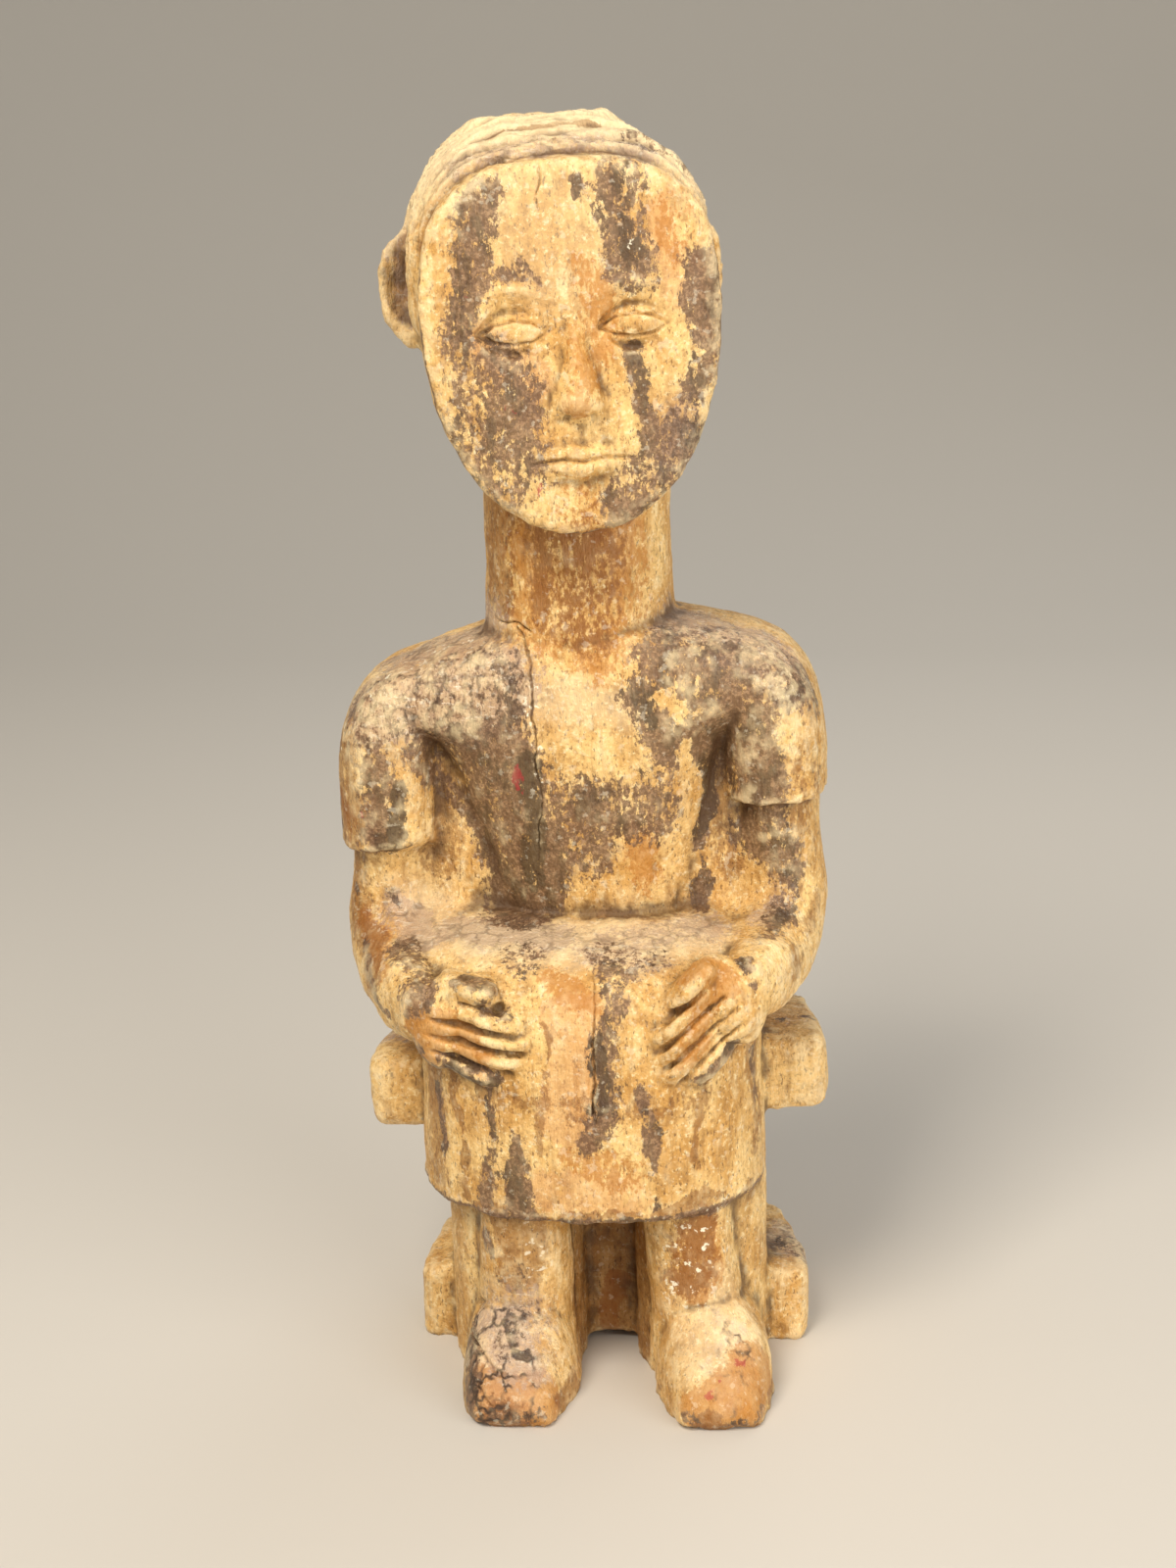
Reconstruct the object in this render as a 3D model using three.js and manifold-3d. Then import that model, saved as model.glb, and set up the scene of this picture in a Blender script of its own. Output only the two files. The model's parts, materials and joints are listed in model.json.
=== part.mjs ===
// A seated figure and its stool, carved from one log of pale wood.
// Millimetres, +Z up. The figure faces -Y. Left and right are as seen from the front: right is +X.
// The origin is on the ground under the middle of the carving.

import * as THREE from "three";
import { mergeVertices } from "three/addons/utils/BufferGeometryUtils.js";
import Module from "manifold-3d";

// Driving dimensions

const FIGURE_HEIGHT = 400;
const FRONT_OF_STOOL = -16;
const BACK_OF_STOOL = 72;

const BASE = { left: -62, right: 70, thickness: 26, corner: 6, bevel: 1.6, rounds: 1 };
const SEAT = { left: -75, right: 77.5, thickness: 26, corner: 9, bevel: 5.5, rounds: 2 };
const SEAT_UNDERSIDE = 80;
const SEAT_TILT_DEG = 3;
const COLUMN = { left: -49, right: 56, back: 46, thickness: 84, corner: 6, bevel: 0, rounds: 0 };
const BASE_ARCH = { halfWidth: 11, height: 3.5, depth: 14 };

const HEM_HEIGHT = 65;
const LAP_HEIGHT = 151;
const SKIRT_HALF_WIDTH = 56;
const SKIRT_FRONT = -61;
const SKIRT_POWER = 2.2;

const LEG = { left: -22, right: 30, halfWidth: 14.5, front: -50, spread: 4, gap: 16 };
const SHOE = { left: -24.3, right: 38, length: 63, halfWidth: 19, toeHeight: 13, instepHeight: 34 };
const SHOE_TURN_DEG = { left: 0, right: -5 };

const WAIST_HALF_WIDTH = 33;
const CHEST_HALF_WIDTH = 48;
const ARMPIT_HEIGHT = 210;
const SHOULDER_HEIGHT = 240;
const SHOULDER_RISE = 0.07;
const NECK_FOOT = 246;
const SLEEVE_HEM = { left: 175, right: 190 };
const SLEEVE_CENTRE = { left: -63.5, right: 60 };
const SLEEVE_HALF_WIDTH = 16.8;
const SLEEVE_STEP = 3;
const ELBOW_HEIGHT = { left: 143, right: 146 };

const NECK_RADIUS = 29.5;

const HEAD_HEIGHT = 120;
const HEAD_WIDTH = 88;
const HEAD_DEPTH = 92;
const HEAD_PLACE = new THREE.Vector3(-3.6, 1, FIGURE_HEIGHT - HEAD_HEIGHT);
const HEAD_TURN_DEG = 12;
const HEAD_LEAN_DEG = -1.8;

// The face is laid out by the draughtsman's rules: eyes at half the head's height,
// brow, nose and chin a third of the face apart, and five eyes across the head.
const EYE_LINE = HEAD_HEIGHT / 2;
const FACE_THIRD = HEAD_HEIGHT * 0.29;
const EYE_WIDTH = HEAD_WIDTH / 5;
const NOSE_BASE = FACE_THIRD;
const MOUTH_LINE = FACE_THIRD * 0.64;
const FACE_PLANE = -HEAD_DEPTH / 2;
const EAR_SWEEP_DEG = 14;

const FINGER_RADIUS = 4.1;
const FINEST_DETAIL = 0.25;

const WOOD = { color: 0xb58a4e, roughness: 0.72, metalness: 0 };

// Solids and their joining

const wasm = await Module();
wasm.setup();

// A closed geometry as a solid, turned right side out.
function solidOf(geometry) {
  const bare = geometry.clone();
  bare.deleteAttribute("normal");
  bare.deleteAttribute("uv");
  const merged = mergeVertices(bare, 1e-4);
  const mesh = { numProp: 3, vertProperties: merged.attributes.position.array };
  const triVerts = new Uint32Array(merged.index.array);
  const made = new wasm.Manifold(new wasm.Mesh({ ...mesh, triVerts }));
  if (made.volume() > 0) return made;
  return new wasm.Manifold(new wasm.Mesh({ ...mesh, triVerts: triVerts.reverse() }));
}

function join(geometries) {
  return geometries.map(solidOf).reduce((whole, piece) => whole.add(piece));
}

function cutAway(solid, geometries) {
  return geometries.reduce((rest, geometry) => rest.subtract(solidOf(geometry)), solid);
}

// Ways of shaping a form

const radians = THREE.MathUtils.degToRad;
const lerp = THREE.MathUtils.lerp;
const vec = (x, y, z) => new THREE.Vector3(x, y, z);

// A sine or cosine squared off towards the corner of a box: power 2 is an ellipse.
function squared(value, power) {
  return Math.sign(value) * Math.abs(value) ** (2 / power);
}

// Named numbers between a few stations, on a smooth curve through them.
function smoothStations(stations, steps) {
  const names = Object.keys(stations[0]);
  const places = stations.map((_, i) => i);
  const values = stations.flatMap((station) => names.map((name) => station[name]));
  const curve = new THREE.CubicInterpolant(places, values, names.length);
  return Array.from({ length: steps + 1 }, (_, i) => {
    const at = [...curve.evaluate((i / steps) * (stations.length - 1))];
    return Object.fromEntries(names.map((name, n) => [name, at[n]]));
  });
}

// A skin over rings of points, closed by a fan at each end.
function skin(rings) {
  const sides = rings[0].length;
  const middle = (ring) => ring.reduce((sum, p) => sum.add(p), vec(0, 0, 0)).divideScalar(sides);
  const points = [...rings.flat(), middle(rings[0]), middle(rings.at(-1))];
  const firstCap = points.length - 2;
  const lastRing = (rings.length - 1) * sides;
  const faces = [];
  for (let s = 0; s < sides; s += 1) {
    const next = (s + 1) % sides;
    for (let ring = 0; ring < lastRing; ring += sides) {
      faces.push(ring + s, ring + next, ring + sides + next);
      faces.push(ring + s, ring + sides + next, ring + sides + s);
    }
    faces.push(firstCap, next, s);
    faces.push(firstCap + 1, lastRing + s, lastRing + next);
  }
  return new THREE.BufferGeometry().setFromPoints(points).setIndex(faces);
}

// A form that stands upright. A station gives its height z, how much it rises to +x, its middle x,
// its half width, the y of its front, widest line and back, and how square it is.
function standing(stations, sides, steps) {
  const rings = smoothStations(stations, steps).map((at) =>
    Array.from({ length: sides }, (_, s) => {
      const angle = (s / sides) * Math.PI * 2;
      const reach = Math.sin(angle) < 0 ? at.widest - at.front : at.back - at.widest;
      const out = at.half * squared(Math.cos(angle), at.power);
      const y = at.widest + reach * squared(Math.sin(angle), at.power);
      return vec(at.x + out, y, at.z + out * (at.rise ?? 0));
    }),
  );
  return skin(rings);
}

// A form that lies front to back. A station gives its y, its middle x, its half width,
// the height of its widest line, how far it reaches above and below it, and how square it is.
function lying(stations, sides, steps) {
  const rings = smoothStations(stations, steps).map((at) =>
    Array.from({ length: sides }, (_, s) => {
      const angle = (s / sides) * Math.PI * 2;
      const reach = Math.sin(angle) < 0 ? at.below : at.above;
      const power = Math.sin(angle) < 0 ? at.powerBelow : at.powerAbove;
      const x = at.x + at.half * squared(Math.cos(angle), power);
      return vec(x, at.y, at.z + reach * squared(Math.sin(angle), power));
    }),
  );
  return skin(rings);
}

// A limb along a curve through a few points. Its section is an oval, more or less squared,
// with one axis kept towards `across`, and its two half sizes change along it.
function limb(points, sections, across, power, sides, steps) {
  const path = new THREE.CatmullRomCurve3(points);
  const sizes = smoothStations(sections, steps);
  const rings = sizes.map((size, i) => {
    const along = path.getTangent(i / steps);
    const side = across.clone().addScaledVector(along, -across.dot(along)).normalize();
    const other = along.clone().cross(side);
    return Array.from({ length: sides }, (_, s) => {
      const angle = (s / sides) * Math.PI * 2;
      return path
        .getPoint(i / steps)
        .addScaledVector(side, size.wide * squared(Math.cos(angle), power))
        .addScaledVector(other, size.thick * squared(Math.sin(angle), power));
    });
  });
  return skin(rings);
}

function ellipsoid(centre, radii, sides) {
  const ball = new THREE.SphereGeometry(1, sides, Math.round(sides * 0.6));
  return ball.scale(radii.x, radii.y, radii.z).translate(centre.x, centre.y, centre.z);
}

// A plan with a straight front, rounded front corners and a half oval behind, made into a slab.
function halfOvalSlab({ left, right, thickness, corner, bevel, rounds }, front, back) {
  const middle = (left + right) / 2;
  const half = (right - left) / 2;
  const plan = new THREE.Shape();
  plan.moveTo(left + corner, front);
  plan.lineTo(right - corner, front);
  plan.quadraticCurveTo(right, front, right, front + corner);
  plan.absellipse(middle, front + corner, half, back - front - corner, 0, Math.PI);
  plan.quadraticCurveTo(left, front, left + corner, front);
  return new THREE.ExtrudeGeometry(plan, {
    depth: thickness - 2 * bevel,
    curveSegments: 8,
    bevelEnabled: rounds > 0,
    bevelThickness: bevel,
    bevelSize: bevel,
    bevelOffset: -bevel,
    bevelSegments: rounds,
  }).translate(0, 0, bevel);
}

// The stool

function stool() {
  const base = halfOvalSlab(BASE, FRONT_OF_STOOL, BACK_OF_STOOL - 4);
  const seat = halfOvalSlab(SEAT, FRONT_OF_STOOL - 1, BACK_OF_STOOL);
  seat.rotateY(radians(-SEAT_TILT_DEG)).translate(0, 0, SEAT_UNDERSIDE);
  const column = halfOvalSlab(COLUMN, FRONT_OF_STOOL - 1, COLUMN.back).translate(0, 0, 4);
  return [base, seat, column];
}

// A shallow arch under the front of the base, between the legs.
function baseArch() {
  const middle = (LEG.left + LEG.right) / 2;
  return ellipsoid(
    vec(middle, FRONT_OF_STOOL, 0),
    vec(BASE_ARCH.halfWidth, BASE_ARCH.depth, BASE_ARCH.height),
    20,
  );
}

// Skirt and lap

// Where the skirt's front stands at a given x.
function skirtFrontAt(x) {
  const share = Math.min(1, Math.abs(x) / SKIRT_HALF_WIDTH);
  const sides = FRONT_OF_STOOL - 2;
  return sides + (SKIRT_FRONT - sides) * (1 - share ** SKIRT_POWER) ** (1 / SKIRT_POWER);
}

// The skirt is one form with the lap, which spreads sideways to the elbows.
function skirt() {
  const at = (z, half, front, widest, back) => ({ z, x: 0, half, front, widest, back, power: SKIRT_POWER });
  const low = FRONT_OF_STOOL - 2;
  const cloth = standing(
    [
      at(HEM_HEIGHT, SKIRT_HALF_WIDTH - 0.8, SKIRT_FRONT + 1, low, low + 12),
      at(HEM_HEIGHT + 3, SKIRT_HALF_WIDTH, SKIRT_FRONT, low, low + 12),
      at(92, SKIRT_HALF_WIDTH - 0.5, SKIRT_FRONT - 0.5, low, low + 14),
      at(114, SKIRT_HALF_WIDTH - 1, SKIRT_FRONT, low, 20),
      at(128, SKIRT_HALF_WIDTH + 3, SKIRT_FRONT + 1, low + 4, 34),
      at(136, SKIRT_HALF_WIDTH + 8, SKIRT_FRONT + 3.2, low + 9, 38),
      at(142.5, SKIRT_HALF_WIDTH + 10, SKIRT_FRONT + 7.5, low + 12, 39),
      at(147.5, SKIRT_HALF_WIDTH + 9, SKIRT_FRONT + 14, low + 14, 40),
      at(LAP_HEIGHT, SKIRT_HALF_WIDTH + 3, SKIRT_FRONT + 24, low + 16, 40),
      at(LAP_HEIGHT + 2, SKIRT_HALF_WIDTH - 12, SKIRT_FRONT + 37, low + 18, 38),
    ],
    34,
    11,
  );
  const hip = (z, half, back) => ({ z, x: 0, half, front: -10, widest: 8, back, power: 2.6 });
  const hips = [hip(95, 50, 50), hip(118, 52, 52), hip(138, 50, 50), hip(LAP_HEIGHT, 42, 45)];
  return [cloth, standing(hips, 28, 4)];
}

// Legs and shoes

// A leg stands out from the column in front of it, with a flank sloping back on each side.
function leg(side) {
  const middle = LEG[side];
  const out = side === "left" ? -LEG.spread * 0.2 : LEG.spread;
  const at = (z, x, half, front) => ({
    z,
    x,
    half,
    front,
    widest: LEG.front + 16,
    back: FRONT_OF_STOOL,
    power: 2.5,
  });
  const shin = standing(
    [
      at(8, middle + out, LEG.halfWidth + 2, LEG.front + 1),
      at(26, middle + out, LEG.halfWidth + 1, LEG.front),
      at(45, middle + out * 0.5, LEG.halfWidth + 0.4, LEG.front - 1.5),
      at(HEM_HEIGHT + 6, middle, LEG.halfWidth, LEG.front - 2),
    ],
    24,
    3,
  );
  const inner = (LEG.left + LEG.right) / 2;
  const outer = side === "left" ? COLUMN.left : COLUMN.right;
  const reach = Math.abs(outer - inner) / 2 - LEG.gap / 4;
  const flankAt = (z, front) => ({
    z,
    x: outer - Math.sign(outer) * reach,
    half: reach,
    front,
    widest: FRONT_OF_STOOL + 1,
    back: FRONT_OF_STOOL + 6,
    power: 2,
  });
  const flank = [flankAt(-2, LEG.front + 5), flankAt(30, LEG.front + 8), flankAt(72, LEG.front + 7)];
  return [shin, standing(flank, 24, 2)];
}

function shoe(side) {
  const heel = FRONT_OF_STOOL + 4;
  const at = (along, half, above, powerAbove) => ({
    y: heel - along * SHOE.length,
    x: 0,
    half: half * SHOE.halfWidth,
    z: 0,
    above,
    below: 4,
    powerAbove,
    powerBelow: 4,
  });
  const shape = lying(
    [
      at(0, 0.94, SHOE.instepHeight, 2.3),
      at(0.5, 1, SHOE.instepHeight, 2.3),
      at(0.62, 0.99, SHOE.instepHeight - 3, 2.4),
      at(0.76, 0.94, SHOE.instepHeight - 11, 2.7),
      at(0.9, 0.84, SHOE.toeHeight + 2.5, 3),
      at(0.97, 0.76, SHOE.toeHeight - 1.5, 3),
      at(1, 0.64, SHOE.toeHeight - 6.5, 2.8),
    ],
    24,
    8,
  );
  const middle = SHOE[side];
  const pivot = FRONT_OF_STOOL - 20;
  shape.translate(0, -pivot, 0).rotateZ(radians(-SHOE_TURN_DEG[side])).translate(middle, pivot, 0);
  return shape;
}

// Body, shoulders and neck

// The body widens upwards to the armpits. Above them the chest runs out over the sleeves,
// and one shoulder stands higher than the other.
function torso() {
  const at = (z, rise, x, half, front, back, power) => ({ z, rise, x, half, front, widest: 6, back, power });
  const chest = CHEST_HALF_WIDTH;
  return standing(
    [
      at(LAP_HEIGHT - 12, 0, 2, WAIST_HALF_WIDTH, -19, 38, 2.6),
      at(LAP_HEIGHT + 8, 0, 2, WAIST_HALF_WIDTH + 1, -20, 38, 2.6),
      at(180, 0, 1, WAIST_HALF_WIDTH + 6.5, -23.5, 40, 2.6),
      at(ARMPIT_HEIGHT - 8, 0.02, 0, chest - 3.5, -25.2, 41, 2.8),
      at(ARMPIT_HEIGHT + 2, 0.03, -1, chest + 3, -25.6, 41, 3),
      at(ARMPIT_HEIGHT + 8, 0.04, -1, chest + 14, -25.6, 41, 3.6),
      at(SHOULDER_HEIGHT - 12, SHOULDER_RISE, -1, chest + 18, -25, 40, 3.5),
      at(SHOULDER_HEIGHT - 4.5, SHOULDER_RISE, -1, chest + 14, -23.8, 37, 3),
      at(SHOULDER_HEIGHT + 1, SHOULDER_RISE, -1, chest, -22.6, 34, 2.6),
      at(SHOULDER_HEIGHT + 4.5, SHOULDER_RISE, -1, NECK_RADIUS + 3, -21, 31, 2.3),
    ],
    34,
    12,
  );
}

// The wood left standing between the arms and the body.
function sideWeb() {
  const at = (z, half) => ({ z, x: -1, half, front: -13, widest: 10, back: 38.5, power: 3.4 });
  return standing([at(LAP_HEIGHT - 20, 58), at(180, 60), at(216, 60)], 28, 2);
}

function neck() {
  const at = (z, half, front, back) => ({ z, x: -1, half, front, widest: 6, back, power: 2.2 });
  return standing(
    [
      at(NECK_FOOT - 20, NECK_RADIUS + 4, -18, 34),
      at(NECK_FOOT - 4, NECK_RADIUS + 1.6, -22.5, 34),
      at(NECK_FOOT + 8, NECK_RADIUS, -22, 33),
      at(HEAD_PLACE.z + 30, NECK_RADIUS, -20, 32),
    ],
    26,
    4,
  );
}

// Sleeves, arms and hands

// A sleeve hangs from the point of the shoulder and ends in a flat hem.
function sleeve(side) {
  const inward = side === "left" ? 1 : -1;
  const hem = SLEEVE_HEM[side];
  const top = SHOULDER_HEIGHT - SHOULDER_RISE * 52 * inward - 2.5;
  const at = (z, shift, half, front, back) => ({
    z,
    x: SLEEVE_CENTRE[side] + shift * inward,
    half,
    front,
    widest: 6,
    back,
    power: 2.8,
  });
  return standing(
    [
      at(hem, 0, SLEEVE_HALF_WIDTH - 0.4, -21, 34),
      at(hem + 3, 0, SLEEVE_HALF_WIDTH, -21.6, 34.6),
      at(top - 32, 0.2, SLEEVE_HALF_WIDTH, -23.4, 36),
      at(top - 19, 1.4, SLEEVE_HALF_WIDTH - 1.3, -23.2, 37),
      at(top - 8, 5, SLEEVE_HALF_WIDTH - 3.4, -21, 35),
      at(top - 2, 10, SLEEVE_HALF_WIDTH - 6.6, -19, 31),
      at(top, 16, SLEEVE_HALF_WIDTH - 10, -14, 26),
    ],
    24,
    8,
  );
}

// An arm bends at the elbow, and its end is the back of the hand on the skirt.
function arm(side) {
  const sign = side === "left" ? -1 : 1;
  const elbow = ELBOW_HEIGHT[side];
  const middle = SLEEVE_CENTRE[side];
  const thin = SLEEVE_HALF_WIDTH - SLEEVE_STEP;
  const { wrist, knuckles } = HANDS[side];
  return limb(
    [
      vec(middle, 6, SLEEVE_HEM[side] + 20),
      vec(middle + sign * 1.2, 6, lerp(SLEEVE_HEM[side], elbow, 0.4)),
      vec(middle + sign * 2.4, 0, elbow + 2),
      vec(middle - sign * 3.4, -22, elbow - 7),
      wrist,
      knuckles,
    ],
    [
      { wide: thin, thick: 24 },
      { wide: thin, thick: 23 },
      { wide: thin + 1, thick: 18 },
      { wide: thin, thick: 14.5 },
      { wide: thin - 4.5, thick: 13 },
      { wide: 3.4, thick: 10 },
    ],
    vec(1, 0, 0),
    2.2,
    16,
    11,
  );
}

// A finger lies on the skirt's front from the knuckle to the tip.
function finger({ knuckle, tip }, radius) {
  const at = (t, lift) => {
    const x = lerp(knuckle[0], tip[0], t);
    return vec(x, skirtFrontAt(x) - lift, lerp(knuckle[1], tip[1], t));
  };
  const size = (share) => ({ wide: radius * share, thick: radius * share });
  return limb(
    [at(0, 0.2), at(0.35, 0.9), at(0.7, 0.5), at(1, -0.6)],
    [size(0.6), size(1), size(1), size(0.95), size(0.5)],
    vec(0, 0, 1),
    2.3,
    8,
    4,
  );
}

// One hand: the wrist, the middle of its knuckles, and each finger's knuckle and tip as x and z.
const HANDS = {
  left: {
    wrist: vec(-51, -45, 131.5),
    knuckles: vec(-38, -51, 127),
    thumb: { knuckle: [-39, 141.5], tip: [-25.5, 140] },
    fingers: [
      { knuckle: [-41, 135.6], tip: [-18.3, 130.8] },
      { knuckle: [-43.5, 130.2], tip: [-16.4, 125] },
      { knuckle: [-44.5, 124.6], tip: [-18.8, 118.5] },
      { knuckle: [-43, 119.4], tip: [-26, 112.2] },
    ],
  },
  right: {
    wrist: vec(52, -42, 138),
    knuckles: vec(40, -49, 132),
    thumb: { knuckle: [42, 149], tip: [29.5, 137.4] },
    fingers: [
      { knuckle: [41, 141], tip: [24, 125.5] },
      { knuckle: [44, 136.4], tip: [25, 119] },
      { knuckle: [47, 132], tip: [27, 112.4] },
      { knuckle: [48.5, 126.6], tip: [34, 110.5] },
    ],
  },
};

function hand(side) {
  const { thumb, fingers } = HANDS[side];
  return [...fingers.map((each) => finger(each, FINGER_RADIUS)), finger(thumb, FINGER_RADIUS * 1.2)];
}

// The head, in its own frame: origin under the chin, face towards -y

// One slice of the head across its depth.
function headSlice(y, half, top, bottom, powerAbove = 3) {
  const widest = EYE_LINE + 4;
  return {
    y,
    x: 0,
    half,
    z: widest,
    above: top - widest,
    below: widest - bottom,
    powerAbove,
    powerBelow: 2.1,
  };
}

// The face is a shallow plate on the front of the head, with a crisp rim.
function facePlate() {
  const half = HEAD_WIDTH / 2;
  return lying(
    [
      headSlice(FACE_PLANE - 1.4, half * 0.55, HEAD_HEIGHT - 32, 22, 2.4),
      headSlice(FACE_PLANE, half - 3, HEAD_HEIGHT - 14.5, 2, 2.8),
      headSlice(FACE_PLANE + 1.6, half - 0.3, HEAD_HEIGHT - 12.4, 0.1, 2.8),
      headSlice(FACE_PLANE + 8, half - 0.3, HEAD_HEIGHT - 12, 0, 2.8),
    ],
    36,
    3,
  );
}

function skull() {
  const half = HEAD_WIDTH / 2 - 2.4;
  const top = HEAD_HEIGHT - 9;
  return lying(
    [
      headSlice(FACE_PLANE + 6, half, top - 4, 3),
      headSlice(FACE_PLANE + 18, half + 0.5, top, 5),
      headSlice(0, half + 1, top, 14),
      headSlice(24, half - 3, top - 6, 25),
      headSlice(37, half - 12, top - 16, 37),
      headSlice(44, half - 23, top - 28, 47),
      headSlice(HEAD_DEPTH / 2 + 1, half - 36, top - 40, 58),
    ],
    28,
    8,
  );
}

// Layers of hair that step back from the face, one above the other, and a flat crown.
function hair() {
  const layer = (front, back, inset, drop, low) => {
    const half = HEAD_WIDTH / 2 - inset;
    const top = HEAD_HEIGHT - drop;
    return lying(
      [
        headSlice(front, half - 1.6, top - 2.2, low + 3),
        headSlice(front + 1.6, half, top - 0.6, low),
        headSlice(6, half, top, low),
        headSlice(back - 16, half - 7, top - 7, low),
        headSlice(back - 6, half - 16, top - 18, low + 4),
        headSlice(back - 1.6, half - 27, top - 30, low + 9),
        headSlice(back, half - 38, top - 42, low + 15),
      ],
      32,
      6,
    );
  };
  const rear = HEAD_DEPTH / 2;
  return [
    layer(FACE_PLANE + 8.5, rear + 4, 0.2, 8, 44),
    layer(FACE_PLANE + 17, rear - 1, -0.8, 4.8, 48),
    layer(FACE_PLANE + 27, rear - 8, 1, 2, 52),
    crown(),
  ];
}

function crown() {
  const cap = new THREE.CylinderGeometry(0.72, 1, 1, 22).rotateX(Math.PI / 2);
  return cap.scale(HEAD_WIDTH * 0.335, HEAD_DEPTH * 0.24, 8).translate(-1, 5, HEAD_HEIGHT - 5.4);
}

function ear(sign) {
  const flap = ellipsoid(vec(HEAD_WIDTH / 2 - 1, 0, 0), vec(11.6, 5, 18), 14);
  return placeEar(flap, sign);
}

function earHollow(sign) {
  const bowl = ellipsoid(vec(HEAD_WIDTH / 2 + 3, -5, 0), vec(6.6, 5.5, 14), 12);
  return placeEar(bowl, sign);
}

// Ears stand behind the face plate, level with the eyes and brow, and sweep back.
function placeEar(shape, sign) {
  shape.rotateZ(radians(EAR_SWEEP_DEG)).translate(0, -12, EYE_LINE + 11);
  return sign < 0 ? shape.scale(-1, 1, 1) : shape;
}

// An almond outline with pointed corners, cut or raised along y.
function almond(middleX, middleZ, width, height, front, back) {
  const outline = new THREE.Shape();
  outline.moveTo(-width / 2, 0);
  outline.quadraticCurveTo(0, height, width / 2, 0);
  outline.quadraticCurveTo(0, -height, -width / 2, 0);
  return new THREE.ExtrudeGeometry(outline, {
    depth: back - front,
    curveSegments: 8,
    bevelEnabled: false,
  })
    .rotateX(Math.PI / 2)
    .translate(middleX, back, middleZ);
}

function eyeSocket(sign) {
  const width = EYE_WIDTH * 1.32;
  return almond(sign * EYE_WIDTH, EYE_LINE, width, width * 0.66, FACE_PLANE - 6, FACE_PLANE + 2.8);
}

function eyeball(sign) {
  const radii = vec(EYE_WIDTH * 0.5, 3.6, EYE_WIDTH * 0.25);
  return ellipsoid(vec(sign * EYE_WIDTH, FACE_PLANE + 3, EYE_LINE), radii, 12);
}

function brow(sign) {
  const y = FACE_PLANE - 0.4;
  const rise = EYE_LINE + EYE_WIDTH * 0.62;
  return limb(
    [
      vec(sign * EYE_WIDTH * 0.3, y, rise - 2.5),
      vec(sign * EYE_WIDTH, y - 0.4, rise + 1.5),
      vec(sign * EYE_WIDTH * 1.75, y + 0.6, rise - 2),
    ],
    [
      { wide: 1.2, thick: 1.5 },
      { wide: 2.4, thick: 2.4 },
      { wide: 1, thick: 1.2 },
    ],
    vec(0, 0, 1),
    2,
    8,
    6,
  );
}

function nose() {
  const at = (z, half, front) => ({
    z,
    x: 0,
    half,
    front: FACE_PLANE - front,
    widest: FACE_PLANE + 1,
    back: FACE_PLANE + 6,
    power: 1.8,
  });
  const width = EYE_WIDTH / 2;
  return standing(
    [
      at(NOSE_BASE - 1, width * 0.55, 2),
      at(NOSE_BASE + 1.5, width * 0.95, 7),
      at(NOSE_BASE + 6, width * 0.9, 8),
      at(lerp(NOSE_BASE, EYE_LINE, 0.6), width * 0.55, 5),
      at(EYE_LINE + 3, width * 0.42, 2.2),
      at(EYE_LINE + 11, width * 0.6, -0.6),
    ],
    16,
    8,
  );
}

function lip(rise, size) {
  const half = EYE_WIDTH * 0.86;
  const y = FACE_PLANE - 0.6;
  return limb(
    [
      vec(-half, y + 0.6, MOUTH_LINE + rise * 0.4),
      vec(0, y - 0.8, MOUTH_LINE + rise),
      vec(half, y + 0.6, MOUTH_LINE + rise * 0.4),
    ],
    [
      { wide: 0.6, thick: 0.8 },
      { wide: size, thick: size * 0.95 },
      { wide: 0.6, thick: 0.8 },
    ],
    vec(0, 0, 1),
    2,
    8,
    8,
  );
}

function head() {
  const sides = [-1, 1];
  const bare = cutAway(join([facePlate(), skull(), ...hair(), ...sides.map(ear)]), [
    ...sides.map(eyeSocket),
    ...sides.map(earHollow),
  ]);
  const features = join([...sides.map(eyeball), ...sides.map(brow), nose(), lip(2, 2.7), lip(-2.4, 3)]);
  const place = new THREE.Matrix4()
    .makeTranslation(HEAD_PLACE)
    .multiply(new THREE.Matrix4().makeRotationY(radians(HEAD_LEAN_DEG)))
    .multiply(new THREE.Matrix4().makeRotationZ(radians(HEAD_TURN_DEG)));
  return bare.add(features).transform(place.toArray());
}

// The whole carving

// What would lie below the ground is cut off flat.
function underground() {
  const depth = 60;
  return new THREE.BoxGeometry(400, 400, depth).translate(0, 0, -depth / 2);
}

function carving() {
  const sides = ["left", "right"];
  const body = join([
    ...stool(),
    ...skirt(),
    ...sides.flatMap((side) => [...leg(side), shoe(side), sleeve(side), arm(side), ...hand(side)]),
    torso(),
    sideWeb(),
    neck(),
  ]);
  return cutAway(body.add(head()), [underground(), baseArch()]);
}

// A solid's surface as a geometry, moved so that the middle of its foot is the origin.
function geometryOf(solid) {
  const { numProp, vertProperties, triVerts } = solid.getMesh();
  const points = [];
  for (let i = 0; i < vertProperties.length; i += numProp) {
    points.push(vec(vertProperties[i], vertProperties[i + 1], vertProperties[i + 2]));
  }
  const geometry = new THREE.BufferGeometry().setFromPoints(points).setIndex([...triVerts]);
  geometry.computeBoundingBox();
  const { min, max } = geometry.boundingBox;
  return geometry.translate(-(min.x + max.x) / 2, -(min.y + max.y) / 2, -min.z);
}

// The carving without its slivers, and without any speck that comes loose with them.
function cleanCarving() {
  const bodies = carving().simplify(FINEST_DETAIL).decompose();
  return bodies.reduce((largest, body) => (body.volume() > largest.volume() ? body : largest));
}

const figure = new THREE.Mesh(geometryOf(cleanCarving()), new THREE.MeshStandardMaterial(WOOD));
figure.name = "seated_figure";

const part = new THREE.Group();
part.name = "carved_seated_figure";
part.add(figure);

export default part;
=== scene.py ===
import json
import math

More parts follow.
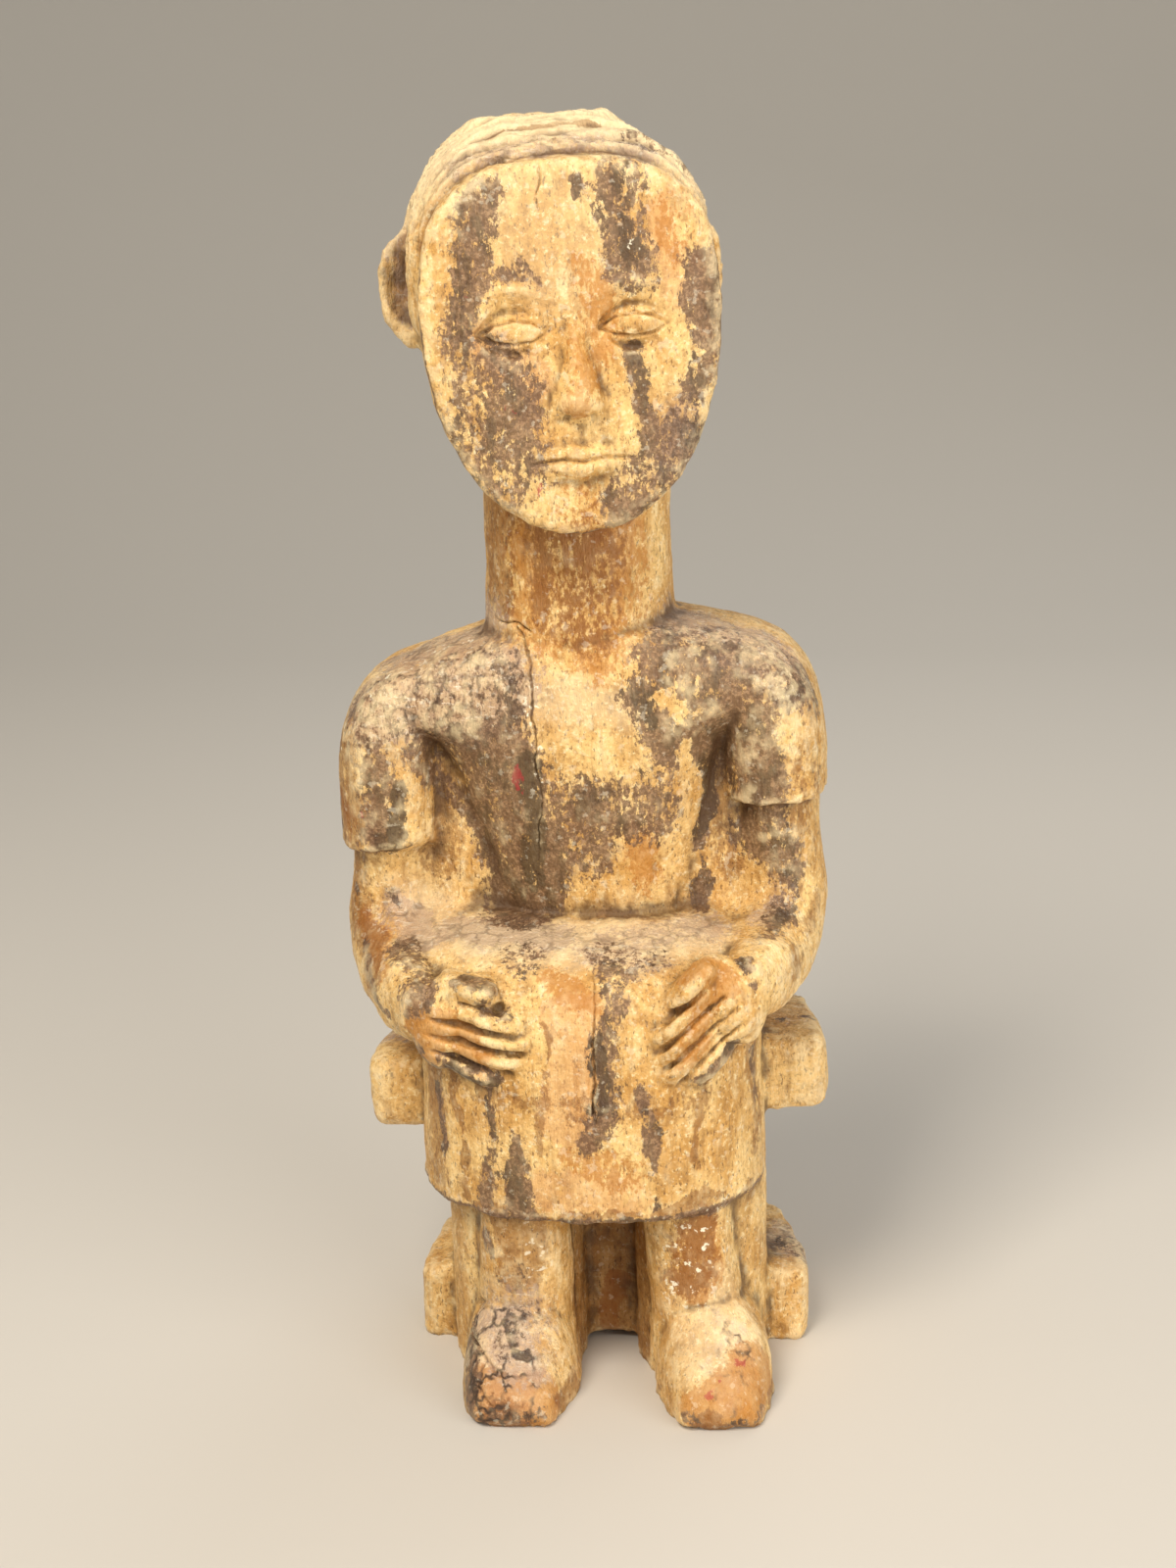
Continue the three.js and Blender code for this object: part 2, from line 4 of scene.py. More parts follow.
import bpy
import numpy as np
from mathutils import Matrix, Vector, noise
from mathutils.kdtree import KDTree

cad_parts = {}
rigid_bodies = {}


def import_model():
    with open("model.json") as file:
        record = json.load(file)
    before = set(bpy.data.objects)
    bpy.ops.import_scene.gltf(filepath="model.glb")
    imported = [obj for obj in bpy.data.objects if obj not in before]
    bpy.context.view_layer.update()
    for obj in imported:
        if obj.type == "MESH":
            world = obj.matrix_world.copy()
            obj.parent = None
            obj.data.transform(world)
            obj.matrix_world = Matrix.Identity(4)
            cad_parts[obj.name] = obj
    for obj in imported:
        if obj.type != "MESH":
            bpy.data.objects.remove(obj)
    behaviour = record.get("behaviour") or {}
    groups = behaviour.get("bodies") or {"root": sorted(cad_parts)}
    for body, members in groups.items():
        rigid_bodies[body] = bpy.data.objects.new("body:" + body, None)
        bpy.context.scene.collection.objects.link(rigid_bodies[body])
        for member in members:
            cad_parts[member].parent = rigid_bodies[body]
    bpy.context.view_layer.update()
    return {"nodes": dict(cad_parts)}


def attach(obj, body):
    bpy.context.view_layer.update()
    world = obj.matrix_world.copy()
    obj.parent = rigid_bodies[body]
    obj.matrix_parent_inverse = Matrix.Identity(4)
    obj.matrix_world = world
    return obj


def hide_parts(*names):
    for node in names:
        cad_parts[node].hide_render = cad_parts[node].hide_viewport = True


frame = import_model()
mm = 0.001  # places and sizes below are in millimetres
noise.seed_set(23)  # the same wander of strokes and ridges on every run

# Small tools

def pick(piece):
    if bpy.context.object and bpy.context.object.mode != "OBJECT":
        bpy.ops.object.mode_set(mode="OBJECT")
    bpy.ops.object.select_all(action="DESELECT")
    piece.select_set(True)
    bpy.context.view_layer.objects.active = piece


def addModifier(piece, kind, **settings):
    modifier = piece.modifiers.new(kind.title(), kind)
    for name, value in settings.items():
        setattr(modifier, name, value)
    return modifier


def applyModifiers(piece):
    pick(piece)
    for modifier in list(piece.modifiers):
        bpy.ops.object.modifier_apply(modifier=modifier.name)


def placesOf(piece):
    places = np.empty(len(piece.data.vertices) * 3)
    piece.data.vertices.foreach_get("co", places)
    return places.reshape(-1, 3) / mm


def normalsOf(piece):
    normals = np.empty(len(piece.data.vertices) * 3)
    piece.data.vertex_normals.foreach_get("vector", normals)
    return normals.reshape(-1, 3)


def setPlaces(piece, places):
    piece.data.vertices.foreach_set("co", (places * mm).ravel())
    piece.data.update()


def fade(value, low, high):  # smooth step from 0 at low to 1 at high
    t = np.clip((value - low) / (high - low), 0, 1)
    return t * t * (3 - 2 * t)


def alongPath(places, path):  # distance to a line of points, and how far along it the nearest point is
    best = np.full(len(places), 1e9)
    share = np.zeros(len(places))
    corners = [np.array(corner, float) for corner in path]
    for i, (start, end) in enumerate(zip(corners, corners[1:])):
        run = end - start
        t = np.clip(((places - start) @ run) / (run @ run), 0, 1)
        away = np.linalg.norm(places - start - t[:, None] * run, axis=1)
        closer = away < best
        best[closer] = away[closer]
        share[closer] = (i + t[closer]) / (len(corners) - 1)
    return best, share


def wandering(places, *swings):  # places shaken by slow noise, each swing a (size, amount)
    moved = places.copy()
    for size, amount in swings:
        shake = [noise.noise_vector(Vector(place) / size) for place in places]
        moved += np.array(shake).reshape(-1, 3) * amount
    return moved


def nearSpots(places, spots):  # 1 at each spot's middle, 0 from its reach on
    mask = np.zeros(len(places))
    for spot in spots.values():
        away = np.linalg.norm(places - np.array(spot["place"]), axis=1)
        near = 1 - fade(away, spot["reach"] * 0.6, spot["reach"])
        mask = np.maximum(mask, spot.get("amount", 1) * near)
    return mask


def neighbourMean(values, edges, counts):
    mean = np.empty_like(values)
    for i in range(values.shape[1]):
        total = np.bincount(edges[:, 0], values[edges[:, 1], i], len(values))
        total += np.bincount(edges[:, 1], values[edges[:, 0], i], len(values))
        mean[:, i] = total / counts
    return mean


def hollows(piece, rounds):  # how far each point lies below its smoothed surroundings
    places = placesOf(piece)
    edges = np.empty(len(piece.data.edges) * 2, np.int32)
    piece.data.edges.foreach_get("vertices", edges)
    edges = edges.reshape(-1, 2)
    counts = np.maximum(np.bincount(edges.ravel(), minlength=len(places)), 1)
    smooth = places
    for _ in range(rounds):
        smooth = neighbourMean(smooth, edges, counts)
    return np.einsum("ij,ij->i", smooth - places, normalsOf(piece))


def setGroup(piece, name, weights):
    group = piece.vertex_groups.new(name=name)
    for i in np.flatnonzero(weights > 0.001):
        group.add([int(i)], float(weights[i]), "REPLACE")


def setAttribute(piece, name, values):
    layer = piece.data.attributes.new(name, "FLOAT", "POINT")
    layer.data.foreach_set("value", np.clip(values, 0, 1).astype(np.float32))


# The head's own frame, as in the solid: origin under the chin, face towards -y

headFrame = {"place": (-1.9, 2.96, 280), "turn": 12, "lean": -1.8}


def headTurn():
    lean = Matrix.Rotation(math.radians(headFrame["lean"]), 3, "Y")
    return np.array(lean @ Matrix.Rotation(math.radians(headFrame["turn"]), 3, "Z"))


def toHead(places):
    return (places - np.array(headFrame["place"])) @ headTurn()


def fromHead(*path):
    return [tuple(headTurn() @ np.array(point) + np.array(headFrame["place"])) for point in path]


# The block of wood: a copy of the solid, its flat facets worn round between the creases

block = {
    "voxel": 1.1,
    "creaseAngle": 30,
    "creaseHeld": 1.6,  # no rounding nearer to a crease than this
    "creaseFree": 7.0,  # full rounding from here on
    "roundsBetween": 60,
    "roundsSoft": 160,
    "roundsOverall": 2,
    "mostTriangles": 192000,
    "standing": 0.9,  # what lies lower than this is set on the ground
}
bulges = {  # fuller backs of the hands, and lids over the eyes
    "handLeft": {"place": (-41, -47.5, 129), "size": (10.5, 8.4, 15.5), "tip": 10},
    "handRight": {"place": (48, -46, 136), "size": (9.5, 8.4, 15.5), "tip": -24},
    "lidLeft": {"place": fromHead((-17.6, -43.4, 60))[0], "size": (10.6, 4.4, 6.2), "tip": 0},
    "lidRight": {"place": fromHead((17.6, -43.4, 60))[0], "size": (10.6, 4.4, 6.2), "tip": 0},
}
softSpots = {  # creases that the carver rounded over
    "lapLeft": {"place": (-54, -12, 154), "reach": 26},
    "lapRight": {"place": (56, -12, 156), "reach": 26},
    "shoulderLeft": {"place": (-48, -8, 240), "reach": 24},
    "shoulderRight": {"place": (50, -8, 240), "reach": 24},
    "shoulderBackLeft": {"place": (-48, 30, 236), "reach": 26},
    "shoulderBackRight": {"place": (50, 30, 236), "reach": 26},
    "toeLeft": {"place": (-24, -74, 7), "reach": 21, "amount": 0.8},
    "toeRight": {"place": (42, -74, 7), "reach": 21, "amount": 0.8},
    "baseLeft": {"place": (-61, 2, 16), "reach": 24, "amount": 0.35},
    "baseRight": {"place": (69, 2, 16), "reach": 24, "amount": 0.35},
    "seatLeft": {"place": (-73, 6, 90), "reach": 24, "amount": 0.3},
    "seatRight": {"place": (77, 6, 95), "reach": 24, "amount": 0.3},
    "hips": {"place": (2, 52, 150), "reach": 44},
    "webLeft": {"place": (-48, 38, 146), "reach": 20},
    "webRight": {"place": (50, 38, 146), "reach": 20},
    "thumbKnuckleLeft": {"place": (-36, -56, 142.5), "reach": 7.5},
    "thumbTipLeft": {"place": (-27.5, -58, 142), "reach": 6.5},
}
crispSpots = {
    "handLeft": {"place": (-31, -56, 127), "reach": 27},
    "handRight": {"place": (37, -54, 130), "reach": 29},
    "face": {"place": fromHead((0, -48, 50))[0], "reach": 84},
    "hairFront": {"place": fromHead((0, -28, 100))[0], "reach": 52},
}
shoes = {  # drawn in between the instep and the toes, so that their sides run straight
    "left": -26, "right": 44, "between": 10, "instep": -46, "tip": -75,
    "narrowing": 0.11, "late": 1.5, "low": 30, "clear": 38,
}


def copyOfNode(nodeName, pieceName):
    pick(frame["nodes"][nodeName])
    bpy.ops.object.duplicate()
    piece = bpy.context.object
    piece.name = piece.data.name = pieceName
    piece.parent = None
    piece.data.materials.clear()
    for key in list(piece.keys()):
        del piece[key]
    bpy.ops.object.mode_set(mode="EDIT")
    bpy.ops.mesh.select_all(action="SELECT")
    bpy.ops.mesh.remove_doubles(threshold=0.02 * mm)
    bpy.ops.object.mode_set(mode="OBJECT")
    return piece


def creasesOf(piece, angle, step):
    pick(piece)
    bpy.ops.object.mode_set(mode="EDIT")
    bpy.ops.mesh.select_mode(type="EDGE")
    bpy.ops.mesh.select_all(action="DESELECT")
    bpy.ops.mesh.edges_select_sharp(sharpness=math.radians(angle))
    bpy.ops.object.mode_set(mode="OBJECT")
    points = []
    for edge in piece.data.edges:
        if edge.select:
            start, end = (piece.data.vertices[i].co / mm for i in edge.vertices)
            count = math.ceil((end - start).length / step)
            points += [start.lerp(end, i / count) for i in range(count + 1)]
    tree = KDTree(len(points))
    for i, point in enumerate(points):
        tree.insert(point, i)
    tree.balance()
    return tree


def joinBulges(piece):
    for bulge in bulges.values():
        bpy.ops.object.select_all(action="DESELECT")
        bpy.ops.mesh.primitive_uv_sphere_add(
            segments=40, ring_count=24, radius=mm, location=Vector(bulge["place"]) * mm,
            rotation=(0, math.radians(bulge["tip"]), 0), scale=bulge["size"],
        )
        piece.select_set(True)
        bpy.context.view_layer.objects.active = piece
        bpy.ops.object.join()


def taperShoes(piece):
    places = placesOf(piece)
    x, y, z = places.T
    middle = np.where(x < shoes["between"], shoes["left"], shoes["right"])
    share = np.clip((y - shoes["instep"]) / (shoes["tip"] - shoes["instep"]), 0, 1)
    low = 1 - fade(z, shoes["low"], shoes["clear"])  # the shoes, not the skirt above them
    waist = np.sin(math.pi * share ** shoes["late"])
    places[:, 0] = middle + (x - middle) * (1 - shoes["narrowing"] * low * waist)
    setPlaces(piece, places)


figure = copyOfNode("seated_figure", "carved_figure")
creases = creasesOf(figure, block["creaseAngle"], 1.0)
joinBulges(figure)

addModifier(figure, "REMESH", mode="VOXEL", voxel_size=block["voxel"] * mm)
applyModifiers(figure)
taperShoes(figure)

places = placesOf(figure)
fromCrease = np.array([creases.find(place)[2] for place in places])
soft = nearSpots(places, softSpots)
broad = np.maximum(fade(fromCrease, block["creaseHeld"], block["creaseFree"]), soft)
broad *= 1 - nearSpots(places, crispSpots)
setGroup(figure, "broad", broad)
setGroup(figure, "soft", soft)
addModifier(figure, "SMOOTH", factor=0.5, iterations=block["roundsBetween"], vertex_group="broad")
addModifier(figure, "SMOOTH", factor=0.5, iterations=block["roundsSoft"], vertex_group="soft")
addModifier(figure, "SMOOTH", factor=0.5, iterations=block["roundsOverall"])
applyModifiers(figure)
figure.vertex_groups.clear()
print("block of wood:", len(figure.data.vertices), "points")

# Finer mesh where fine carving comes

def refine(piece, near):
    pick(piece)
    bpy.ops.object.mode_set(mode="EDIT")
    bpy.ops.mesh.select_mode(type="FACE")
    bpy.ops.mesh.select_all(action="DESELECT")
    bpy.ops.object.mode_set(mode="OBJECT")
    centres = np.empty(len(piece.data.polygons) * 3)
    piece.data.polygons.foreach_get("center", centres)
    chosen = near(centres.reshape(-1, 3) / mm)
    piece.data.polygons.foreach_set("select", chosen)
    bpy.ops.object.mode_set(mode="EDIT")
    bpy.ops.mesh.subdivide(number_cuts=1, quadcorner="INNERVERT")
    bpy.ops.object.mode_set(mode="OBJECT")


# Lines cut into the wood as seen from the front: x and z, half widths and depths from start to end

cracks = {
    "chest": {"path": [(-18, 249), (-14, 240), (-13, 227), (-12, 212), (-11, 190), (-14, 170)],
              "width": (0.8, 0.4), "depth": (1.5, 0.7), "front": -8},
    "neckFoot": {"path": [(-25, 249), (-18, 249), (-12, 246)],
                 "width": (0.7, 1.2), "depth": (0.8, 1.6), "front": -8},
    "skirt": {"path": [(5, 146), (6, 138), (6, 127), (6, 112), (5, 98)],
              "width": (0.5, 0.9), "depth": (0.7, 1.6), "front": -40},
    "brow": {"path": [(-3, 386), (-2.8, 379), (-2.6, 372)],
             "width": (0.7, 0.5), "depth": (0.9, 0.6), "front": -35},
    "hairline": {"path": [(-16, 387), (-10, 387.4)],
                 "width": (1.0, 0.8), "depth": (1.8, 1.2), "front": -30},
    "shoe": {"path": [(-34, 32), (-38, 22), (-31, 19), (-23, 16)],
             "width": (0.8, 0.8), "depth": (1.0, 0.8), "front": -38},
    "shoeSide": {"path": [(-31, 19), (-33, 12), (-28, 8)],
                 "width": (0.8, 0.7), "depth": (0.9, 0.7), "front": -45},
}
lidLine = {"width": (0.9, 0.9), "depth": (1.0, 1.0), "front": -38}
lowerLidLine = {"width": (0.9, 0.9), "depth": (0.8, 0.8), "front": -38}
nostril = {"width": (2.2, 2.2), "depth": (0.8, 0.8), "front": -46}
faceLines = {  # lids, lips and nostrils of a calm, plain face, on the head's own measures
    "lidLeft": {"path": [(-27.5, 59.6), (-23, 62.4), (-17.6, 63.4), (-12, 62.4), (-7.7, 59.6)], **lidLine},
    "lidRight": {"path": [(7.7, 59.6), (12, 62.4), (17.6, 63.4), (23, 62.4), (27.5, 59.6)], **lidLine},
    "lowerLidLeft": {"path": [(-27.5, 59.6), (-23, 57.2), (-17.6, 56.4), (-12, 57.2), (-7.7, 59.6)],
                     **lowerLidLine},
    "lowerLidRight": {"path": [(7.7, 59.6), (12, 57.2), (17.6, 56.4), (23, 57.2), (27.5, 59.6)],
                      **lowerLidLine},
    "lips": {"path": [(-15, 21.8), (-6, 22.8), (0, 22), (6, 22.8), (15, 21.8)],
             "width": (1.1, 1.1), "depth": (1.2, 1.2), "front": -42},
    "philtrum": {"path": [(0, 33), (0, 26)], "width": (2.8, 3.2), "depth": (0.4, 0.6), "front": -42},
    "nostrilLeft": {"path": [(-5, 34.8), (-3, 34.2)], **nostril},
    "nostrilRight": {"path": [(3, 34.2), (5, 34.8)], **nostril},
}
fingerGaps = {
    "left": [[(-36, 138), (-21, 136)], [(-46, 133), (-15.5, 127.8)], [(-46, 127.4), (-15.5, 121.8)],
             [(-45, 122), (-20, 115.2)]],
    "right": [[(40.5, 142.6), (27, 131.5)], [(47, 140.4), (25.5, 122)], [(50, 136), (27, 115.6)],
              [(52, 131), (31, 110.6)]],
}
fingerGap = {"width": (1.4, 1.7), "depth": (1.5, 2.0), "front": -45}
fingerBars = {  # raised, not cut
    "left": [[(-42, 144), (-24, 140.6)], [(-42, 136), (-18, 130.8)], [(-44, 130.4), (-16, 124.9)],
             [(-44, 124.8), (-18, 118.5)], [(-42, 119.4), (-26, 112.6)]],
    "right": [[(43, 149.5), (29.5, 137)], [(43, 143), (24, 125.6)], [(46, 138), (25, 119)],
              [(48.5, 133.4), (27, 112.6)], [(49, 127), (34, 110.8)]],
}
fingerBar = {"width": (2.9, 2.7), "depth": (-0.8, -0.9), "front": -45}
thumbBar = {"width": (3.9, 3.2), "depth": (-1.6, -2.6), "front": -45}
crackSway = ((11, 1.6), (3.5, 0.6), (1.4, 0.3))
lineReach = {"crack": 4, "face": 3, "cut": 7}  # how far from a line the mesh is refined, and moved
lineEnds = (-0.05, 0.12)  # a line fades in and out over this share of its length
faceZone = {"front": -36, "half": 36, "low": 10, "high": 82}
handZone = {"front": -44, "middle": 2, "apart": 12, "low": 104, "high": 156}
fineRounds = 4  # rounding of the finer mesh before it is cut


def nearLine(places, line, reach):
    return (places[:, 1] < line["front"]) & (alongPath(places[:, [0, 2]], line["path"])[0] < reach)


def nearCracks(places):
    return np.any([nearLine(places, crack, lineReach["crack"]) for crack in cracks.values()], axis=0)


def nearFaceLines(places):
    return np.any([nearLine(toHead(places), line, lineReach["face"]) for line in faceLines.values()], axis=0)


def nearFace(places):
    x, y, z = toHead(places).T
    across = (y < faceZone["front"]) & (np.abs(x) < faceZone["half"])
    return across & (z > faceZone["low"]) & (z < faceZone["high"])


def nearHands(places):
    x, y, z = places.T
    across = (y < handZone["front"]) & (np.abs(x - handZone["middle"]) > handZone["apart"])
    return across & (z > handZone["low"]) & (z < handZone["high"])


def cutLine(piece, places, line, sway=()):  # places are the piece's points, or the same in the head's frame
    near = np.flatnonzero(nearLine(places, line, lineReach["cut"]))
    away, share = alongPath(wandering(places[near], *sway)[:, [0, 2]], line["path"])
    width = line["width"][0] + share * (line["width"][1] - line["width"][0])
    depth = line["depth"][0] + share * (line["depth"][1] - line["depth"][0])
    ends = fade(share, *lineEnds) * fade(1 - share, *lineEnds)
    moved = placesOf(piece)
    moved[near] -= normalsOf(piece)[near] * (depth * ends * (1 - fade(away, 0, width)))[:, None]
    setPlaces(piece, moved)


refine(figure, lambda places: nearCracks(places) | nearFace(places) | nearHands(places))
refine(figure, lambda places: nearCracks(places) | nearFaceLines(places))
places = placesOf(figure)
setGroup(figure, "fine", (nearFace(places) | nearHands(places)).astype(float))
addModifier(figure, "SMOOTH", factor=0.5, iterations=fineRounds, vertex_group="fine")
applyModifiers(figure)
figure.vertex_groups.clear()

places = placesOf(figure)
headPlaces = toHead(places)
for line in faceLines.values():
    cutLine(figure, headPlaces, line)
for side in ("left", "right"):
    thumb, *fingers = fingerBars[side]
    cutLine(figure, places, {"path": thumb, **thumbBar})
    for finger in fingers:
        cutLine(figure, places, {"path": finger, **fingerBar})
    for gap in fingerGaps[side]:
        cutLine(figure, places, {"path": gap, **fingerGap})
for crack in cracks.values():
    cutLine(figure, places, crack, crackSway)
print("cracks, fingers and face lines cut")

# The line behind the rim of the face, and combed ridges of the hair across the head

rim = {
    "half": 43.7, "middle": 64, "above": 44, "below": 64, "power": 2.4,
    "behind": -37.4, "width": 1.5, "depth": 0.8, "inner": 0.6, "outer": 0.8, "lowest": 270,
}
hair = {
    "spacing": 4.6, "depth": 1.15, "slope": 0.15, "arch": 0.0145, "sway": ((24, 3.4), (7, 1.0)),
    "low": 56, "full": 84, "front": -36, "frontFade": 3, "back": 40, "backFade": 18,
}


def rimShare(places):  # 0 in the middle of the face, 1 along its outline
    x, y, z = toHead(places).T
    rise = z - rim["middle"]
    tall = np.where(rise > 0, rim["above"], rim["below"])
    return (np.abs(x) / rim["half"]) ** rim["power"] + (np.abs(rise) / tall) ** rim["power"]


def rimGroove(places):
    behind = 1 - fade(np.abs(toHead(places)[:, 1] - rim["behind"]), 0, rim["width"])
    return behind * fade(rimShare(places), rim["inner"], rim["outer"]) * (places[:, 2] > rim["lowest"])


def hairRidges(places):  # up to 1 on a ridge, down to -1 in a groove
    x, y, z = wandering(toHead(places), *hair["sway"]).T
    zone = fade(z, hair["low"], hair["full"]) * fade(y, hair["front"], hair["front"] + hair["frontFade"])
    zone *= fade(-y, -hair["back"], -hair["back"] + hair["backFade"])
    patchy = 0.55 + 0.45 * np.sin(x * 0.21 + z * 0.13) * np.sin(y * 0.17)  # deeper here and there
    return zone * patchy * np.sin((y - hair["slope"] * z) * 2 * math.pi / hair["spacing"])


def carveHead(piece):
    places = placesOf(piece)
    lift = hair["depth"] * hairRidges(places) - rim["depth"] * rimGroove(places)
    setPlaces(piece, places + normalsOf(piece) * lift[:, None])


carveHead(figure)

# Marks of the adze and the knife: dished cuts, a slow unevenness and upright grain

toolMarks = {
    "uneven": {"kind": "CLOUDS", "size": 16, "strength": 0.9, "stretch": 1.0},
    "dished": {"kind": "VORONOI", "size": 11, "strength": 0.7, "stretch": 1.6},
    "grain": {"kind": "CLOUDS", "size": 2.2, "strength": 0.35, "stretch": 7.0},
    "bruises": {"kind": "CLOUDS", "size": 3.5, "strength": 0.5, "stretch": 1.3},
    "nicks": {"kind": "CLOUDS", "size": 7.0, "strength": -0.6, "stretch": 1.0,
              "group": "edges", "contrast": 4, "intensity": 0.15},  # few and deep
}
nickedEdges = {"rounds": 8, "from": 0.12, "full": 0.5, "spared": 0.6}


def roughen(piece, marks):
    for name, mark in marks.items():
        texture = bpy.data.textures.new(name, mark["kind"])
        texture.noise_scale = mark["size"] * mm
        onEdges = "group" in mark
        if onEdges:
            texture.contrast = mark["contrast"]
            texture.intensity = mark["intensity"]
        bpy.ops.object.empty_add()
        ruler = bpy.context.object
        ruler.scale = (1, 1, mark["stretch"])
        bpy.context.view_layer.update()
        addModifier(
            piece, "DISPLACE", texture=texture, texture_coords="OBJECT", texture_coords_object=ruler,
            strength=mark["strength"] * mm, mid_level=0.0 if onEdges else 0.5,
            vertex_group=mark.get("group", ""),
        )
    applyModifiers(piece)
    for ruler in [o for o in bpy.data.objects if o.type == "EMPTY" and o.name.startswith("Empty")]:
        bpy.data.objects.remove(ruler)


edges = fade(-hollows(figure, nickedEdges["rounds"]), nickedEdges["from"], nickedEdges["full"])
edges *= 1 - nickedEdges["spared"] * nearSpots(placesOf(figure), crispSpots)
setGroup(figure, "edges", edges)
roughen(figure, toolMarks)

addModifier(figure, "TRIANGULATE")
applyModifiers(figure)
share = block["mostTriangles"] / len(figure.data.polygons)
print("before thinning:", len(figure.data.polygons), "triangles")
if share < 1:
    addModifier(figure, "DECIMATE", ratio=share)
    applyModifiers(figure)

places = placesOf(figure)
places[:, 2] = np.where(places[:, 2] < block["standing"], 0, places[:, 2])
setPlaces(figure, places)
pick(figure)
bpy.ops.object.shade_smooth()
figure.vertex_groups.clear()
print("figure:", len(figure.data.polygons), "triangles")

# Masks kept with the mesh: hollows, worn edges, and where each paint, dirt, painted shade, highlight and
# sheen was brushed.
# Each stroke has a half width, a strength and a path

def hairArc(y, top):  # across the head from side to side, at one depth
    return fromHead(*[(x, y, top - hair["arch"] * x * x) for x in (-40, -30, -18, -6, 6, 18, 30, 40)])


def rimPath(y):  # along the rim of the face, from ear to ear under the chin
    turns = [math.radians(angle) for angle in range(-10, 191, 20)]
    points = []
    for turn in turns:
        across = math.copysign(abs(math.cos(turn)) ** (2 / rim["power"]), math.cos(turn))
        down = math.copysign(abs(math.sin(turn)) ** (2 / rim["power"]), math.sin(turn))
        points.append((rim["half"] * across, y, rim["middle"] - rim["below"] * down))
    return fromHead(*points)


